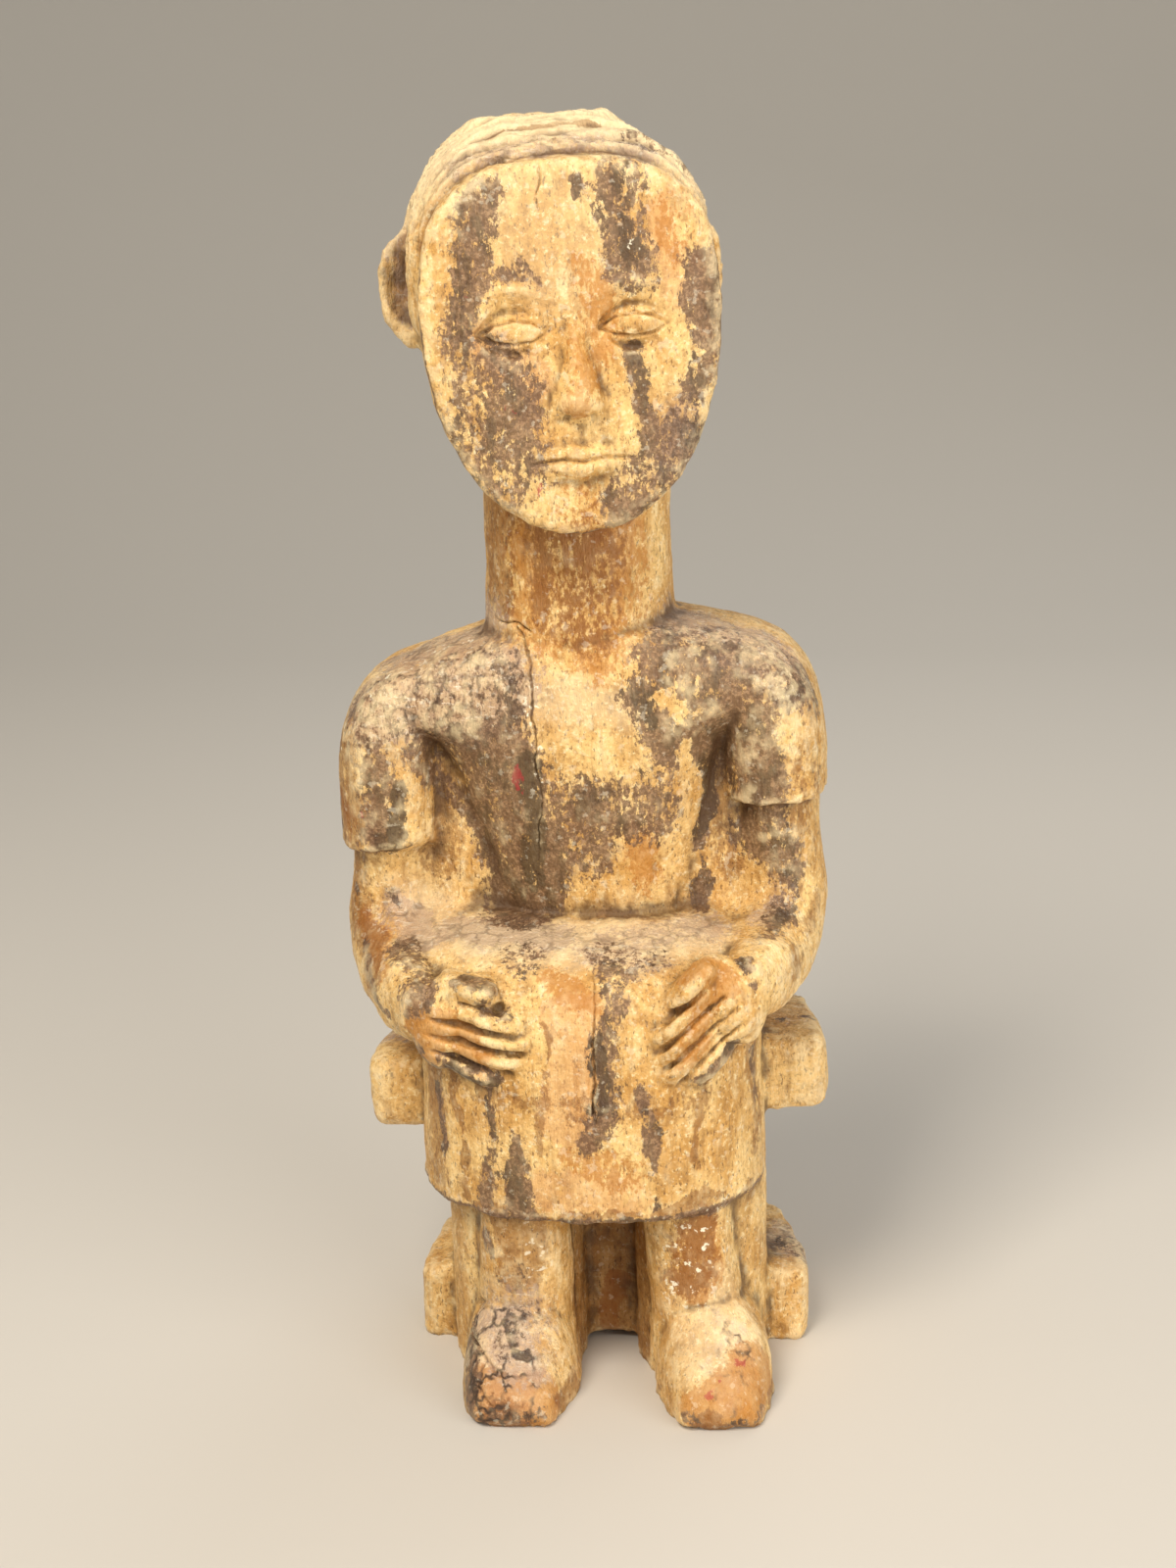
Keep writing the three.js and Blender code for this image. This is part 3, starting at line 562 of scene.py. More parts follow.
darkPaint = {
    "chestLeft": (11, 1.3, [(-25, -21, 207), (-19, -21, 194), (-16, -20, 181), (-16, -18, 169)]),
    "chestLeftLow": (7.5, 1.25, [(-30, -14, 184), (-22, -14, 166), (-20, -16, 154)]),
    "chestCorner": (4.5, 0.9, [(-48, -13, 200), (-42, -12, 194), (-34, -11, 184)]),
    "waistStreak": (3.6, 0.95, [(-7, -20, 172), (-8, -18, 155)]),
    "chestHaze": (8, 0.78, [(-46, -14, 208), (-31, -22, 212), (-18, -23, 216)]),
    "chestMiddle": (10, 0.78, [(-6, -22, 196), (8, -23, 194), (22, -21, 188)]),
    "chestMiddleLow": (8, 0.66, [(-6, -21, 184), (4, -21, 176)]),
    "chestSpot": (1.4, 0.9, [(0, -24, 218.5), (0.6, -24, 217.5)]),
    "besideNeck": (5, 1.0, [(21, -23, 226), (24, -23, 216), (28, -21, 208)]),
    "shoulderRight": (13, 1.25, [(38, -20, 214), (51, -18, 211), (60, -20, 202)]),
    "shoulderTop": (12, 0.8, [(33, -19, 234), (51, -17, 232), (66, -18, 225)]),
    "sleeveRight": (9, 1.3, [(55, -19, 198), (58, -16, 187), (61, -14, 179)]),
    "sleeveRightHem": (1.4, 1.4, [(65, -14, 188), (66, -14, 180)]),
    "armpitRight": (3, 1.0, [(40, -13, 202), (41, -9, 190), (39, -9, 180)]),
    "waistRight": (2.6, 1.2, [(40, -9, 177), (39, -9, 163), (36, -14, 153)]),
    "sleeveLeftStripe": (2.4, 1.4, [(-57, -20, 196), (-58, -20, 182), (-59, -19, 175)]),
    "sleeveLeft": (5, 0.8, [(-64, -21, 205), (-66, -20, 188), (-66, -19, 178)]),
    "sleeveLeftHem": (3.6, 0.95, [(-66, -19, 177), (-56, -19, 175)]),
    "armLeftSpot": (1.2, 0.85, [(-61, -10, 160), (-61, -12, 154)]),
    "lapSmudge": (5, 0.46, [(-19, -38, 149.5), (-15, -44, 147)]),
    "lapRight": (5, 0.46, [(8, -41, 149), (24, -44, 147)]),
    "skirtStripe": (4.4, 0.8, [(11, -49, 145), (12, -56, 134), (9, -59, 117), (10, -59, 107),
                               (6, -59, 95)]),
    "skirtStripeTop": (2.2, 0.85, [(8, -49, 145), (19, -49, 144.5)]),
    "skirtThin": (1.5, 1.7, [(21, -57, 113), (22, -57, 99), (23.5, -57, 86), (22, -57, 70)]),
    "skirtLeft": (1.6, 1.05, [(-27, -54, 110), (-27, -54, 98), (-29, -53, 87)]),
    "hemLeft": (3, 0.95, [(-27, -54, 92), (-29, -53, 68)]),
    "hemLeftInner": (3.2, 0.95, [(-20, -57, 90), (-17.5, -57, 68)]),
    "skirtSideLeft": (1.6, 1.1, [(-45, -41, 104), (-44, -42, 84)]),
    "skirtSideRight": (1.6, 1.2, [(55, -30, 114), (55, -30, 97)]),
    "armRight": (5, 0.92, [(66, -13, 166), (65, -20, 155), (59, -31, 152)]),
    "armLeft": (5, 0.8, [(-57, -31, 148), (-48, -44, 144), (-49, -52, 138)]),
    "thumbLeft": (2.8, 1.2, [(-36, -53, 145), (-26, -57, 143)]),
    "indexLeft": (2.2, 0.75, [(-30, -58, 138), (-20, -56, 135)]),
    "littleLeft": (2.4, 1.3, [(-40, -53, 118), (-26, -58, 113)]),
    "handRightEdge": (2.4, 1.3, [(53, -46, 150), (53, -46, 134), (47, -50, 119), (38, -54, 110)]),
    "handLeftEdge": (2.2, 1.3, [(-51, -46, 128), (-47, -50, 117), (-38, -54, 112), (-27, -57, 109)]),
    "shinLeft": (1.8, 1.4, [(-33, -44, 55), (-28, -48, 46), (-27, -48, 42)]),
    "shinLeftLow": (3, 0.65, [(-22, -49, 46), (-20, -49, 41)]),
    "shoeLeft": (7, 0.36, [(-19, -53, 27), (-23, -59, 22)]),
    "shoeLeftSide": (5, 1.0, [(-40, -46, 24), (-40, -58, 13), (-37, -66, 7)]),
    "toeLeft": (2.4, 0.62, [(-36, -66, 5), (-26, -73, 3), (-12, -73, 4)]),
    "toeRight": (2.2, 0.58, [(32, -72, 4), (44, -74, 3), (56, -66, 4)]),
    "shoeRightSide": (2.2, 0.9, [(57, -50, 22), (59, -58, 14)]),
    "baseRight": (4, 0.7, [(64, 8, 26), (70, 0, 26)]),
    "seatEndCrack": (0.9, 0.95, [(63, 2, 109), (70, 5, 108.5), (78, 8, 108.5)]),
    "templeLeft": (4.6, 0.85, [(-19, -47, 379), (-23, -48, 366), (-23, -49, 354), (-27, -50, 340),
                               (-26, -49, 322)]),
    "browLeft": (2.6, 0.8, [(-14, -47, 357), (-8, -46, 361), (-3, -45, 357)]),
    "cheekLeft": (7.5, 0.8, [(-17, -48, 330), (-14, -48, 322), (-11, -47, 312), (-11, -46, 299)]),
    "cheekLeftLow": (8, 0.68, [(-25, -49, 315), (-18, -48, 301)]),
    "foreheadRight": (6.4, 0.78, [(20, -39, 385), (19, -40, 374), (21, -40, 364), (23, -40, 358)]),
    "cheekRight": (2.2, 1.1, [(23, -40, 332), (24, -40, 325), (26, -39, 315), (27, -39, 302)]),
    "templeRight": (5, 0.92, [(42, -34, 357), (44, -34, 346), (45, -34, 333), (41, -35, 322)]),
    "cheekRightLow": (9, 0.74, [(37, -36, 307), (31, -37, 295), (26, -38, 291)]),
    "chin": (5, 0.95, [(16, -40, 289), (20, -39, 284)]),
    "foreheadSpot": (1.8, 0.85, [(6, -42, 379), (6.5, -42, 374)]),
    "hairRight": (5, 0.7, [(24, -22, 394), (38, -10, 386)]),
    "shoulderLeftHaze": (13, 0.44, [(-66, -18, 218), (-45, -20, 224), (-26, -21, 228)]),
    "sleeveLeftEdge": (2.2, 0.9, [(-78, -10, 214), (-80, -8, 194), (-79, -8, 180)]),
    "elbowLeftEdge": (2.0, 0.9, [(-77, -8, 160), (-71, -24, 143), (-60, -42, 132)]),
}
rimLine = {"rim": (1.1, 1.0, rimPath(-43.2))}  # thin dark line along the edge of the face: dirt, and painted shadow under the chin
hemLine = {"height": 65.6, "half": 0.9, "reach": 2.2, "from": 16, "full": 28}  # and along the hem, in front: dirt and painted shadow under the skirt's edge
barePatches = {  # left out of the dark paint
    "star": (2.2, 1.0, [(26, -23, 225), (32, -23, 223), (37, -22, 221)]),
    "starUp": (2.0, 1.0, [(33, -22, 230), (33, -22, 218)]),
    "streak": (2.4, 1.0, [(35, -19, 209), (36, -15, 196), (35, -14, 186)]),
    "outerSleeve": (5.5, 1.0, [(69, -20, 214), (72, -18, 196), (73, -12, 184)]),
    "collar": (9, 1.0, [(-2, -23, 222), (4, -23, 209)]),
}
deepPaint = {  # where the dark paint is almost black
    "crack": (4, 1.0, [(-14, -22, 204), (-14, -20, 184), (-15, -18, 166)]),
    "besideNeck": (3, 0.7, [(21, -23, 226), (24, -23, 216)]),
    "armpitRight": (3, 0.9, [(40, -13, 202), (41, -9, 190), (39, -9, 180)]),
    "sleeves": (3, 0.9, [(-57, -20, 196), (-58, -20, 182), (-59, -19, 175)]),
    "skirt": (2.5, 1.0, [(7, -59, 124), (6, -59, 106)]),
    "forehead": (3.4, 0.6, [(20, -39, 384), (22, -40, 362)]),
    "littleLeft": (2.2, 0.9, [(-40, -53, 118), (-26, -58, 113)]),
    "handRight": (1.8, 0.9, [(53, -46, 150), (53, -46, 134), (47, -50, 119)]),
    "armRight": (3, 0.8, [(66, -13, 166), (65, -20, 155)]),
}
# A grey film of dust and worn paint; on the tops of the shoulders, lap and arms its lilac grey is also
# painted sheen
dustFilmAndSheen = {
    "shoulderLeft": (13, 1.0, [(-62, -18, 224), (-45, -18, 226), (-26, -21, 228)]),
    "shoulderLeftTop": (12, 0.85, [(-56, -2, 236), (-34, -6, 243)]),
    "shoulderRight": (10, 0.85, [(34, -8, 243), (56, -6, 240), (66, -14, 230)]),
    "lapLeft": (8, 0.8, [(-36, -24, 152), (-8, -32, 152)]),
    "lapRight": (8, 0.64, [(8, -38, 150), (22, -32, 152), (38, -24, 152)]),
    "lapEdge": (4, 0.6, [(8, -43, 148), (26, -44, 147)]),
    "armLeft": (7, 1.0, [(-58, -14, 152), (-52, -26, 149)]),
    "armRight": (5, 0.8, [(58, -20, 154), (66, -16, 162)]),
    "shoeLeft": (10, 0.7, [(-24, -50, 29), (-21, -62, 20)]),
    "hairFront": (6, 0.7, [(-28, -34, 386), (-4, -32, 392), (24, -26, 390)]),
    "seatRight": (9, 0.3, [(66, 8, 109), (72, 26, 109)]),
    "seatLeft": (9, 0.6, [(-64, 8, 104), (-70, 26, 104)]),
    "baseRight": (6, 0.9, [(62, 14, 26), (68, 2, 26)]),
    "cheekRight": (7, 0.6, [(38, -36, 314), (34, -37, 300)]),
    "earLeft": (8, 0.5, [(-47, -8, 362), (-47, -8, 343)]),
}
# Ochre stains on the hands, toes and elsewhere; on the neck the ochre is also painted shade under the head
warmStainAndShade = {
    "neck": (22, 0.6, [(2, -20, 292), (3, -20, 254)]),
    "handRight": (5, 1.0, [(38, -54, 148), (46, -52, 142)]),
    "fingersRight": (6, 0.7, [(40, -55, 136), (34, -57, 122)]),
    "fingersLeft": (5, 0.9, [(-40, -55, 131), (-30, -57, 122)]),
    "handLeft": (6, 0.95, [(-47, -50, 131), (-44, -52, 121)]),
    "toeLeft": (8, 1.5, [(-34, -68, 7), (-22, -73, 7), (-12, -70, 8)]),
    "toeRight": (8, 1.4, [(40, -72, 8), (52, -67, 11), (55, -60, 15)]),
    "elbowLeft": (4.5, 0.8, [(-72, -14, 152), (-62, -38, 143)]),
    "baseMiddle": (3.5, 1.0, [(6, -15, 24), (6, -15, 6)]),
    "hem": (6, 0.62, [(1, -59, 90), (8, -59, 86), (15, -58, 82)]),
    "seam": (4, 0.7, [(-6, -50, 144), (4, -55, 137)]),
    "cheek": (8, 0.6, [(12, -42, 352), (10, -48, 322)]),
    "foreheadRight": (6, 0.5, [(36, -36, 374), (38, -36, 362)]),
    "shinRight": (8, 0.75, [(38, -49, 56), (36, -49, 40)]),
    "chestRight": (7, 0.6, [(18, -21, 178), (22, -20, 166)]),
    "sleeveLeft": (4, 0.7, [(-76, -12, 190), (-74, -14, 180)]),
}
rosyWood = {
    "skirt": (8, 0.8, [(-2, -57, 134), (-2, -59, 100)]),
    "foreheadRight": (7, 0.55, [(34, -37, 372), (36, -36, 352)]),
    "cheekLeft": (7, 0.7, [(-8, -47, 326), (-20, -48, 336)]),
    "hem": (8, 0.7, [(-6, -59, 76), (14, -58, 76)]),
}
# Paler wood: bleached on the hair, shoe, collar and forehead, and a painted highlight on the top of the lap
bleachedAndHighlight = {
    "hair": (20, 1.0, [(-30, -12, 384), (0, -8, 396), (30, -6, 388)]),
    "shoeRight": (11, 0.5, [(41, -50, 29), (43, -60, 20)]),
    "lap": (9, 0.6, [(-50, -10, 152), (-44, -26, 151)]),
    "collar": (6, 0.5, [(-4, -23, 226), (14, -23, 222)]),
    "forehead": (13, 0.26, [(-6, -46, 374), (4, -45, 360)]),
    "lapMiddle": (10, 0.8, [(-32, -28, 152), (0, -36, 151), (32, -30, 152)]),
}
# Darker brown multiplied over the wood: grime in streaks, creases and on the soles, and painted shade
# between the legs, under the chin, on the neck under the head, under the lap, along the hem and along the
# right sole
grimeAndShade = {
    "shinLeft": (8, 0.8, [(-22, -50, 60), (-20, -49, 42)]),
    "shinRight": (8, 0.7, [(36, -49, 60), (34, -49, 42)]),
    "betweenLegs": (20, 0.9, [(7, -14, 62), (7, -14, 10)]),
    "neckLeft": (8, 0.7, [(-24, -8, 290), (-24, -8, 256)]),
    "underChin": (9, 0.8, [(-12, -18, 292), (16, -18, 292)]),
    "skirtLeft": (7, 0.7, [(-46, -38, 110), (-46, -38, 76)]),
    "skirtRight": (5, 0.6, [(54, -30, 118), (54, -30, 80)]),
    "webLeft": (6, 0.6, [(-46, -6, 200), (-45, -6, 166)]),
    "webRight": (6, 0.6, [(48, -6, 200), (46, -6, 166)]),
    "hemLine": (2, 0.9, [(-46, -38, 69), (-30, -52, 68), (0, -58, 67), (30, -54, 68), (52, -34, 69)]),
    "waistLine": (2.0, 0.6, [(-36, -18, 153), (0, -22, 153), (36, -18, 153)]),
    "earLeft": (6, 0.95, [(-45, -8, 362), (-45, -8, 346)]),
    "neck": (16, 0.56, [(2, -26, 286), (3, -26, 254)]),
    "armLeft": (6, 0.8, [(-78, -6, 170), (-74, -14, 150), (-64, -34, 138)]),
    "armRight": (4, 0.7, [(79, -4, 176), (76, -10, 152), (62, -36, 138)]),
    "sleeveLeft": (8, 0.72, [(-74, -12, 214), (-74, -14, 178)]),
    "sleeveRight": (6, 0.6, [(70, -16, 206), (72, -12, 182)]),
    "skirtStreak": (2.2, 0.9, [(-38, -47, 110), (-37, -48, 70)]),
    "skirtStreakRight": (1.8, 0.8, [(36, -53, 104), (37, -52, 72)]),
    "skirtStreakMiddle": (1.4, 0.8, [(-9, -58, 132), (-10, -59, 84)]),
    "underLap": (5, 0.5, [(-30, -54, 108), (10, -58, 104), (44, -50, 106)]),
    "soleLeft": (6, 0.9, [(-38, -50, 3), (-24, -72, 2), (-8, -50, 3)]),
    "soleRight": (4, 0.8, [(26, -50, 3), (42, -74, 2), (58, -50, 3)]),
    "baseLeft": (6, 0.56, [(-62, 8, 12), (-70, 4, 6)]),
    "hairFirst": (1.4, 1.3, hairArc(-38, 109)),
    "hairSecond": (1.2, 1.2, hairArc(-29.5, 112)),
    "hairThird": (1.2, 1.1, hairArc(-19.5, 116)),
}
redTrace = {
    "chest": (1.3, 0.7, [(-19, -22, 209), (-17.5, -22, 198)]),
    "chestThin": (0.9, 0.7, [(-13.5, -22, 202), (-12.5, -22, 190)]),
    "shoeRight": (1.3, 1.0, [(38, -70, 12), (44, -67, 15), (50, -60, 19)]),
    "temple": (0.9, 0.85, [(-25, -49, 349), (-25, -49, 347)]),
    "cheek": (0.9, 0.85, [(-14, -48, 324), (-12, -47, 316)]),
    "jaw": (0.9, 0.85, [(-6, -45, 294), (-6, -45, 292)]),
    "sleeveLeft": (1.2, 0.8, [(-71, -16, 193), (-70, -16, 189)]),
}
crackledPaint = {
    "shoeLeft": (10, 1.1, [(-28, -52, 20), (-27, -62, 16), (-26, -70, 8)]),
    "shoeRight": (9, 0.5, [(42, -54, 26), (47, -66, 14)]),
}
creamFlecks = {
    "shinRight": (8, 1.0, [(44, -46, 60), (32, -49, 50), (33, -48, 38)]),
    "shinLeft": (5, 0.7, [(-16, -48, 58), (-14, -47, 42)]),
    "sleeveLeft": (4, 0.9, [(-74, -16, 226), (-77, -12, 208)]),
    "forehead": (3, 1.0, [(24, -39, 367), (24, -39, 361)]),
    "crack": (2.5, 1.0, [(-13, -23, 240), (-11, -23, 226), (-11, -22, 200)]),
    "shoulderLeft": (3, 0.9, [(-66, -14, 224), (-50, -8, 236), (-30, -6, 245)]),
}
cleanPockets = {  # dusted out, though deep
    "left": {"place": (-49, -6, 157), "reach": 17},
    "right": {"place": (51, -6, 160), "reach": 17},
}
brush = {"sway": ((16, 4.0), (5, 1.6)), "core": 0.5, "reach": 1.9}
backPaint = {  # plainer streaks on the sides and back
    "share": 0.8, "from": -0.1, "to": 0.5, "wide": 12, "long": 60, "streak": (0.0, 0.5),
}
wear = {  # how deep a hollow holds dirt, and how proud an edge is rubbed pale
    "tightRounds": 6, "tight": (0.05, 0.4), "tightShare": 0.7,
    "wideRounds": 40, "wide": (0.2, 2.2), "wideShare": 0.75,
    "groove": (0.1, 0.5), "grooveShare": 0.75, "dusted": 0.85,
    "edge": (0.08, 0.5), "edgeShare": 0.8, "stainHides": 0.75, "lineShare": 0.9,
}


def brushed(places, strokes):
    mask = np.zeros(len(places))
    for width, strength, path in strokes.values():
        away = alongPath(places, path)[0]
        mask = np.maximum(mask, strength * (1 - fade(away, width * brush["core"], width * brush["reach"])))
    return mask


def streaks(places):  # bands that run down the wood
    grain = np.array([backPaint["wide"], backPaint["wide"], backPaint["long"]])
    return fade(np.array([noise.noise(Vector(place)) for place in places / grain]), *backPaint["streak"])


# dark lines along the hem and the edge of the face: dirt and painted shadow
def shadowAndDirtLines(places):
    hem = 1 - fade(np.abs(places[:, 2] - hemLine["height"]), hemLine["half"], hemLine["reach"])
    hem *= fade(-places[:, 1], hemLine["from"], hemLine["full"])
    return np.maximum(hem, brushed(places, rimLine))


def storeMasks(piece):
    places = placesOf(piece)
    near = hollows(piece, wear["tightRounds"])
    wide = hollows(piece, wear["wideRounds"])
    combed = fade(-hairRidges(places), *wear["groove"]) * wear["grooveShare"]
    hollow = fade(near, *wear["tight"]) * wear["tightShare"] + fade(wide, *wear["wide"]) * wear["wideShare"]
    hollow *= 1 - wear["dusted"] * nearSpots(places, cleanPockets)
    setAttribute(piece, "hollow", np.maximum.reduce([hollow, rimGroove(places), combed]))
    shadowAndDirt = shadowAndDirtLines(places)
    places = wandering(places, *brush["sway"])
    stainsAndShadow = np.maximum(shadowAndDirt, wear["stainHides"] * np.minimum(brushed(places, warmStainAndShade), 1))
    pale = fade(-near, *wear["edge"]) * wear["edgeShare"]
    setAttribute(piece, "wornEdge", pale * (1 - stainsAndShadow))  # no pale wood where it is stained or on the lines of dirt and painted shadow
    hidden = fade(normalsOf(piece)[:, 1], backPaint["from"], backPaint["to"]) * streaks(places)
    dark = brushed(places, darkPaint) * (1 - brushed(places, barePatches))
    # the hem and face-edge lines join the dark paint as dirt and painted shadow
    dark = np.maximum.reduce([dark, backPaint["share"] * hidden, wear["lineShare"] * shadowAndDirt])
    setAttribute(piece, "darkPaint", dark)
    for name, strokes in (
        ("deepPaint", deepPaint), ("dustFilmAndSheen", dustFilmAndSheen), ("warmStainAndShade", warmStainAndShade), ("rosyWood", rosyWood),
        ("bleachedAndHighlight", bleachedAndHighlight), ("grimeAndShade", grimeAndShade), ("redTrace", redTrace), ("crackled", crackledPaint),
        ("creamFlecks", creamFlecks),
    ):
        setAttribute(piece, name, brushed(places, strokes))


storeMasks(figure)
print("masks stored")

# Node helpers

def addNode(tree, kind, inputs=None, **settings):
    node = tree.nodes.new(kind)
    for name, value in settings.items():
        setattr(node, name, value)
    for name, value in (inputs or {}).items():
        if isinstance(value, bpy.types.NodeSocket):
            tree.links.new(value, node.inputs[name])
        else:
            node.inputs[name].default_value = value
    return node


def maths(tree, operation, first, second=0.0, clamp=False):
    node = addNode(tree, "ShaderNodeMath", {0: first, 1: second}, operation=operation, use_clamp=clamp)
    return node.outputs[0]


def mixed(tree, share, first, second, blend="MIX"):
    node = tree.nodes.new("ShaderNodeMix")
    node.data_type = "RGBA"
    node.blend_type = blend
    for index, value in ((0, share), (6, first), (7, second)):
        if isinstance(value, bpy.types.NodeSocket):
            tree.links.new(value, node.inputs[index])
        else:
            node.inputs[index].default_value = value if index == 0 else (*value, 1)
    return node.outputs[2]


def stepped(tree, value, low, high):  # 0 below low, 1 above high
    node = addNode(
        tree, "ShaderNodeMapRange", {"Value": value, "From Min": low, "From Max": high},
        interpolation_type="SMOOTHSTEP",
    )
    return node.outputs[0]


def noiseAt(tree, places, scale, detail=3.0, roughness=0.55):
    return addNode(
        tree, "ShaderNodeTexNoise",
        {"Vector": places, "Scale": scale, "Detail": detail, "Roughness": roughness},
    ).outputs["Fac"]


def stretched(tree, places, amount):  # patterns drawn out along the grain
    return addNode(tree, "ShaderNodeMapping", {"Vector": places, "Scale": (1, 1, 1 / amount)}).outputs[0]


def colour(red, green, blue):  # from the 0 to 255 values of a paint card
    linear = []
    for value in (red, green, blue):
        share = value / 255
        linear.append(share / 12.92 if share <= 0.04045 else ((share + 0.055) / 1.055) ** 2.4)
    return tuple(linear)


def newGroup(name, inputs, outputs):
    group = bpy.data.node_groups.new(name, "ShaderNodeTree")
    for socketName, kind in inputs.items():
        group.interface.new_socket(socketName, in_out="INPUT", socket_type=kind)
    for socketName, kind in outputs.items():
        group.interface.new_socket(socketName, in_out="OUTPUT", socket_type=kind)
    return group, group.nodes.new("NodeGroupInput").outputs, group.nodes.new("NodeGroupOutput").inputs


# Broken edge: a soft brushed mask frayed along the grain, with flecks rubbed out of it

edgeBreak = {  # each noise has a scale, a detail and a roughness
    "fray": (85, 5, 0.62), "frayStretch": 2.4, "fleck": (560, 5, 0.72), "fleckStretch": 1.7,
    "inside": 3.0, "step": (0.4, 0.62),
}


def brokenEdgeGroup():
    group, given, result = newGroup(
        "brokenEdge",
        {
            "Mask": "NodeSocketFloat", "Place": "NodeSocketVector",
            "Fray": "NodeSocketFloat", "Fleck": "NodeSocketFloat",
        },
        {"Mask": "NodeSocketFloat"},
    )
    fray = noiseAt(group, stretched(group, given["Place"], edgeBreak["frayStretch"]), *edgeBreak["fray"])
    fleck = noiseAt(group, stretched(group, given["Place"], edgeBreak["fleckStretch"]), *edgeBreak["fleck"])
    frayed = maths(group, "MULTIPLY", maths(group, "SUBTRACT", fray, 0.5), given["Fray"])
    flecked = maths(group, "MULTIPLY", maths(group, "SUBTRACT", fleck, 0.5), given["Fleck"])
    inside = maths(group, "MULTIPLY", given["Mask"], edgeBreak["inside"], True)
    shift = maths(group, "MULTIPLY", maths(group, "ADD", frayed, flecked), inside)
    broken = stepped(group, maths(group, "ADD", given["Mask"], shift), *edgeBreak["step"])
    group.links.new(broken, result["Mask"])
    return group


# Bare wood: blotches, upright grain, pale bruises and dark pores

woodTones = {
    "light": (238, 200, 132), "deep": (206, 156, 82), "pore": (104, 72, 38),
    "pale": (250, 232, 184), "shade": (158, 114, 58),
}
woodNoise = {  # scale, detail and roughness
    "blotch": (60, 4, 0.6), "patch": (190, 5, 0.66), "mottle": (560, 4, 0.7),
    "grain": (480, 3, 0.6), "pores": (1050, 2, 0.7),
}
woodStretch = {"upright": 1.6, "grain": 14, "pores": 2.5}


def bareWoodGroup():
    group, given, result = newGroup(
        "bareWood", {"Place": "NodeSocketVector"},
        {"Color": "NodeSocketColor", "Height": "NodeSocketFloat"},
    )
    tone = {name: colour(*value) for name, value in woodTones.items()}
    upright = stretched(group, given["Place"], woodStretch["upright"])
    blotch = noiseAt(group, upright, *woodNoise["blotch"])
    patch = noiseAt(group, upright, *woodNoise["patch"])
    mottle = noiseAt(group, given["Place"], *woodNoise["mottle"])
    grain = noiseAt(group, stretched(group, given["Place"], woodStretch["grain"]), *woodNoise["grain"])
    pores = noiseAt(group, stretched(group, given["Place"], woodStretch["pores"]), *woodNoise["pores"])

    def part(value, low, high, amount):
        return maths(group, "MULTIPLY", stepped(group, value, low, high), amount)

    base = mixed(group, stepped(group, blotch, 0.36, 0.64), tone["deep"], tone["light"])
    base = mixed(group, part(patch, 0.5, 0.32, 0.6), base, tone["shade"])
    base = mixed(group, part(patch, 0.52, 0.68, 0.45), base, tone["pale"])
    base = mixed(group, part(grain, 0.5, 0.32, 0.36), base, tone["shade"])
    base = mixed(group, part(mottle, 0.48, 0.33, 0.6), base, tone["shade"])
    base = mixed(group, part(mottle, 0.54, 0.68, 0.7), base, tone["pale"])
    base = mixed(group, part(pores, 0.58, 0.69, 0.75), base, tone["pore"])
    group.links.new(base, result["Color"])
    height = maths(group, "SUBTRACT", maths(group, "ADD", grain, mottle), pores)
    group.links.new(height, result["Height"])
    return group


# Craze: the net of cracks in old thick paint, fading out in places

crackle = {
    "cells": 128.0, "wobble": 260.0, "shake": 0.005, "line": (0.12, 0.02),
    "faint": (110, 2), "faintStep": (0.36, 0.54),
}


def crazeGroup():
    group, given, result = newGroup("craze", {"Place": "NodeSocketVector"}, {"Lines": "NodeSocketFloat"})
    place = given["Place"]
    wobble = addNode(
        group, "ShaderNodeTexNoise", {"Vector": place, "Scale": crackle["wobble"], "Detail": 2.0},
    ).outputs["Color"]
    shaken = addNode(
        group, "ShaderNodeVectorMath", {0: wobble, 1: (crackle["shake"],) * 3}, operation="MULTIPLY",
    ).outputs[0]
    moved = addNode(group, "ShaderNodeVectorMath", {0: place, 1: shaken}, operation="ADD").outputs[0]
    cells = {"Vector": moved, "Scale": crackle["cells"]}
    net = addNode(group, "ShaderNodeTexVoronoi", cells, feature="DISTANCE_TO_EDGE")
    line = stepped(group, net.outputs["Distance"], *crackle["line"])
    faint = stepped(group, noiseAt(group, place, *crackle["faint"]), *crackle["faintStep"])
    group.links.new(maths(group, "MULTIPLY", line, faint), result["Lines"])
    return group


brokenEdge = brokenEdgeGroup()
bareWood = bareWoodGroup()
craze = crazeGroup()

# The one finish all over: bare wood, what is left of the paint, the dirt and polish of use, and painted
# shade, highlight and sheen

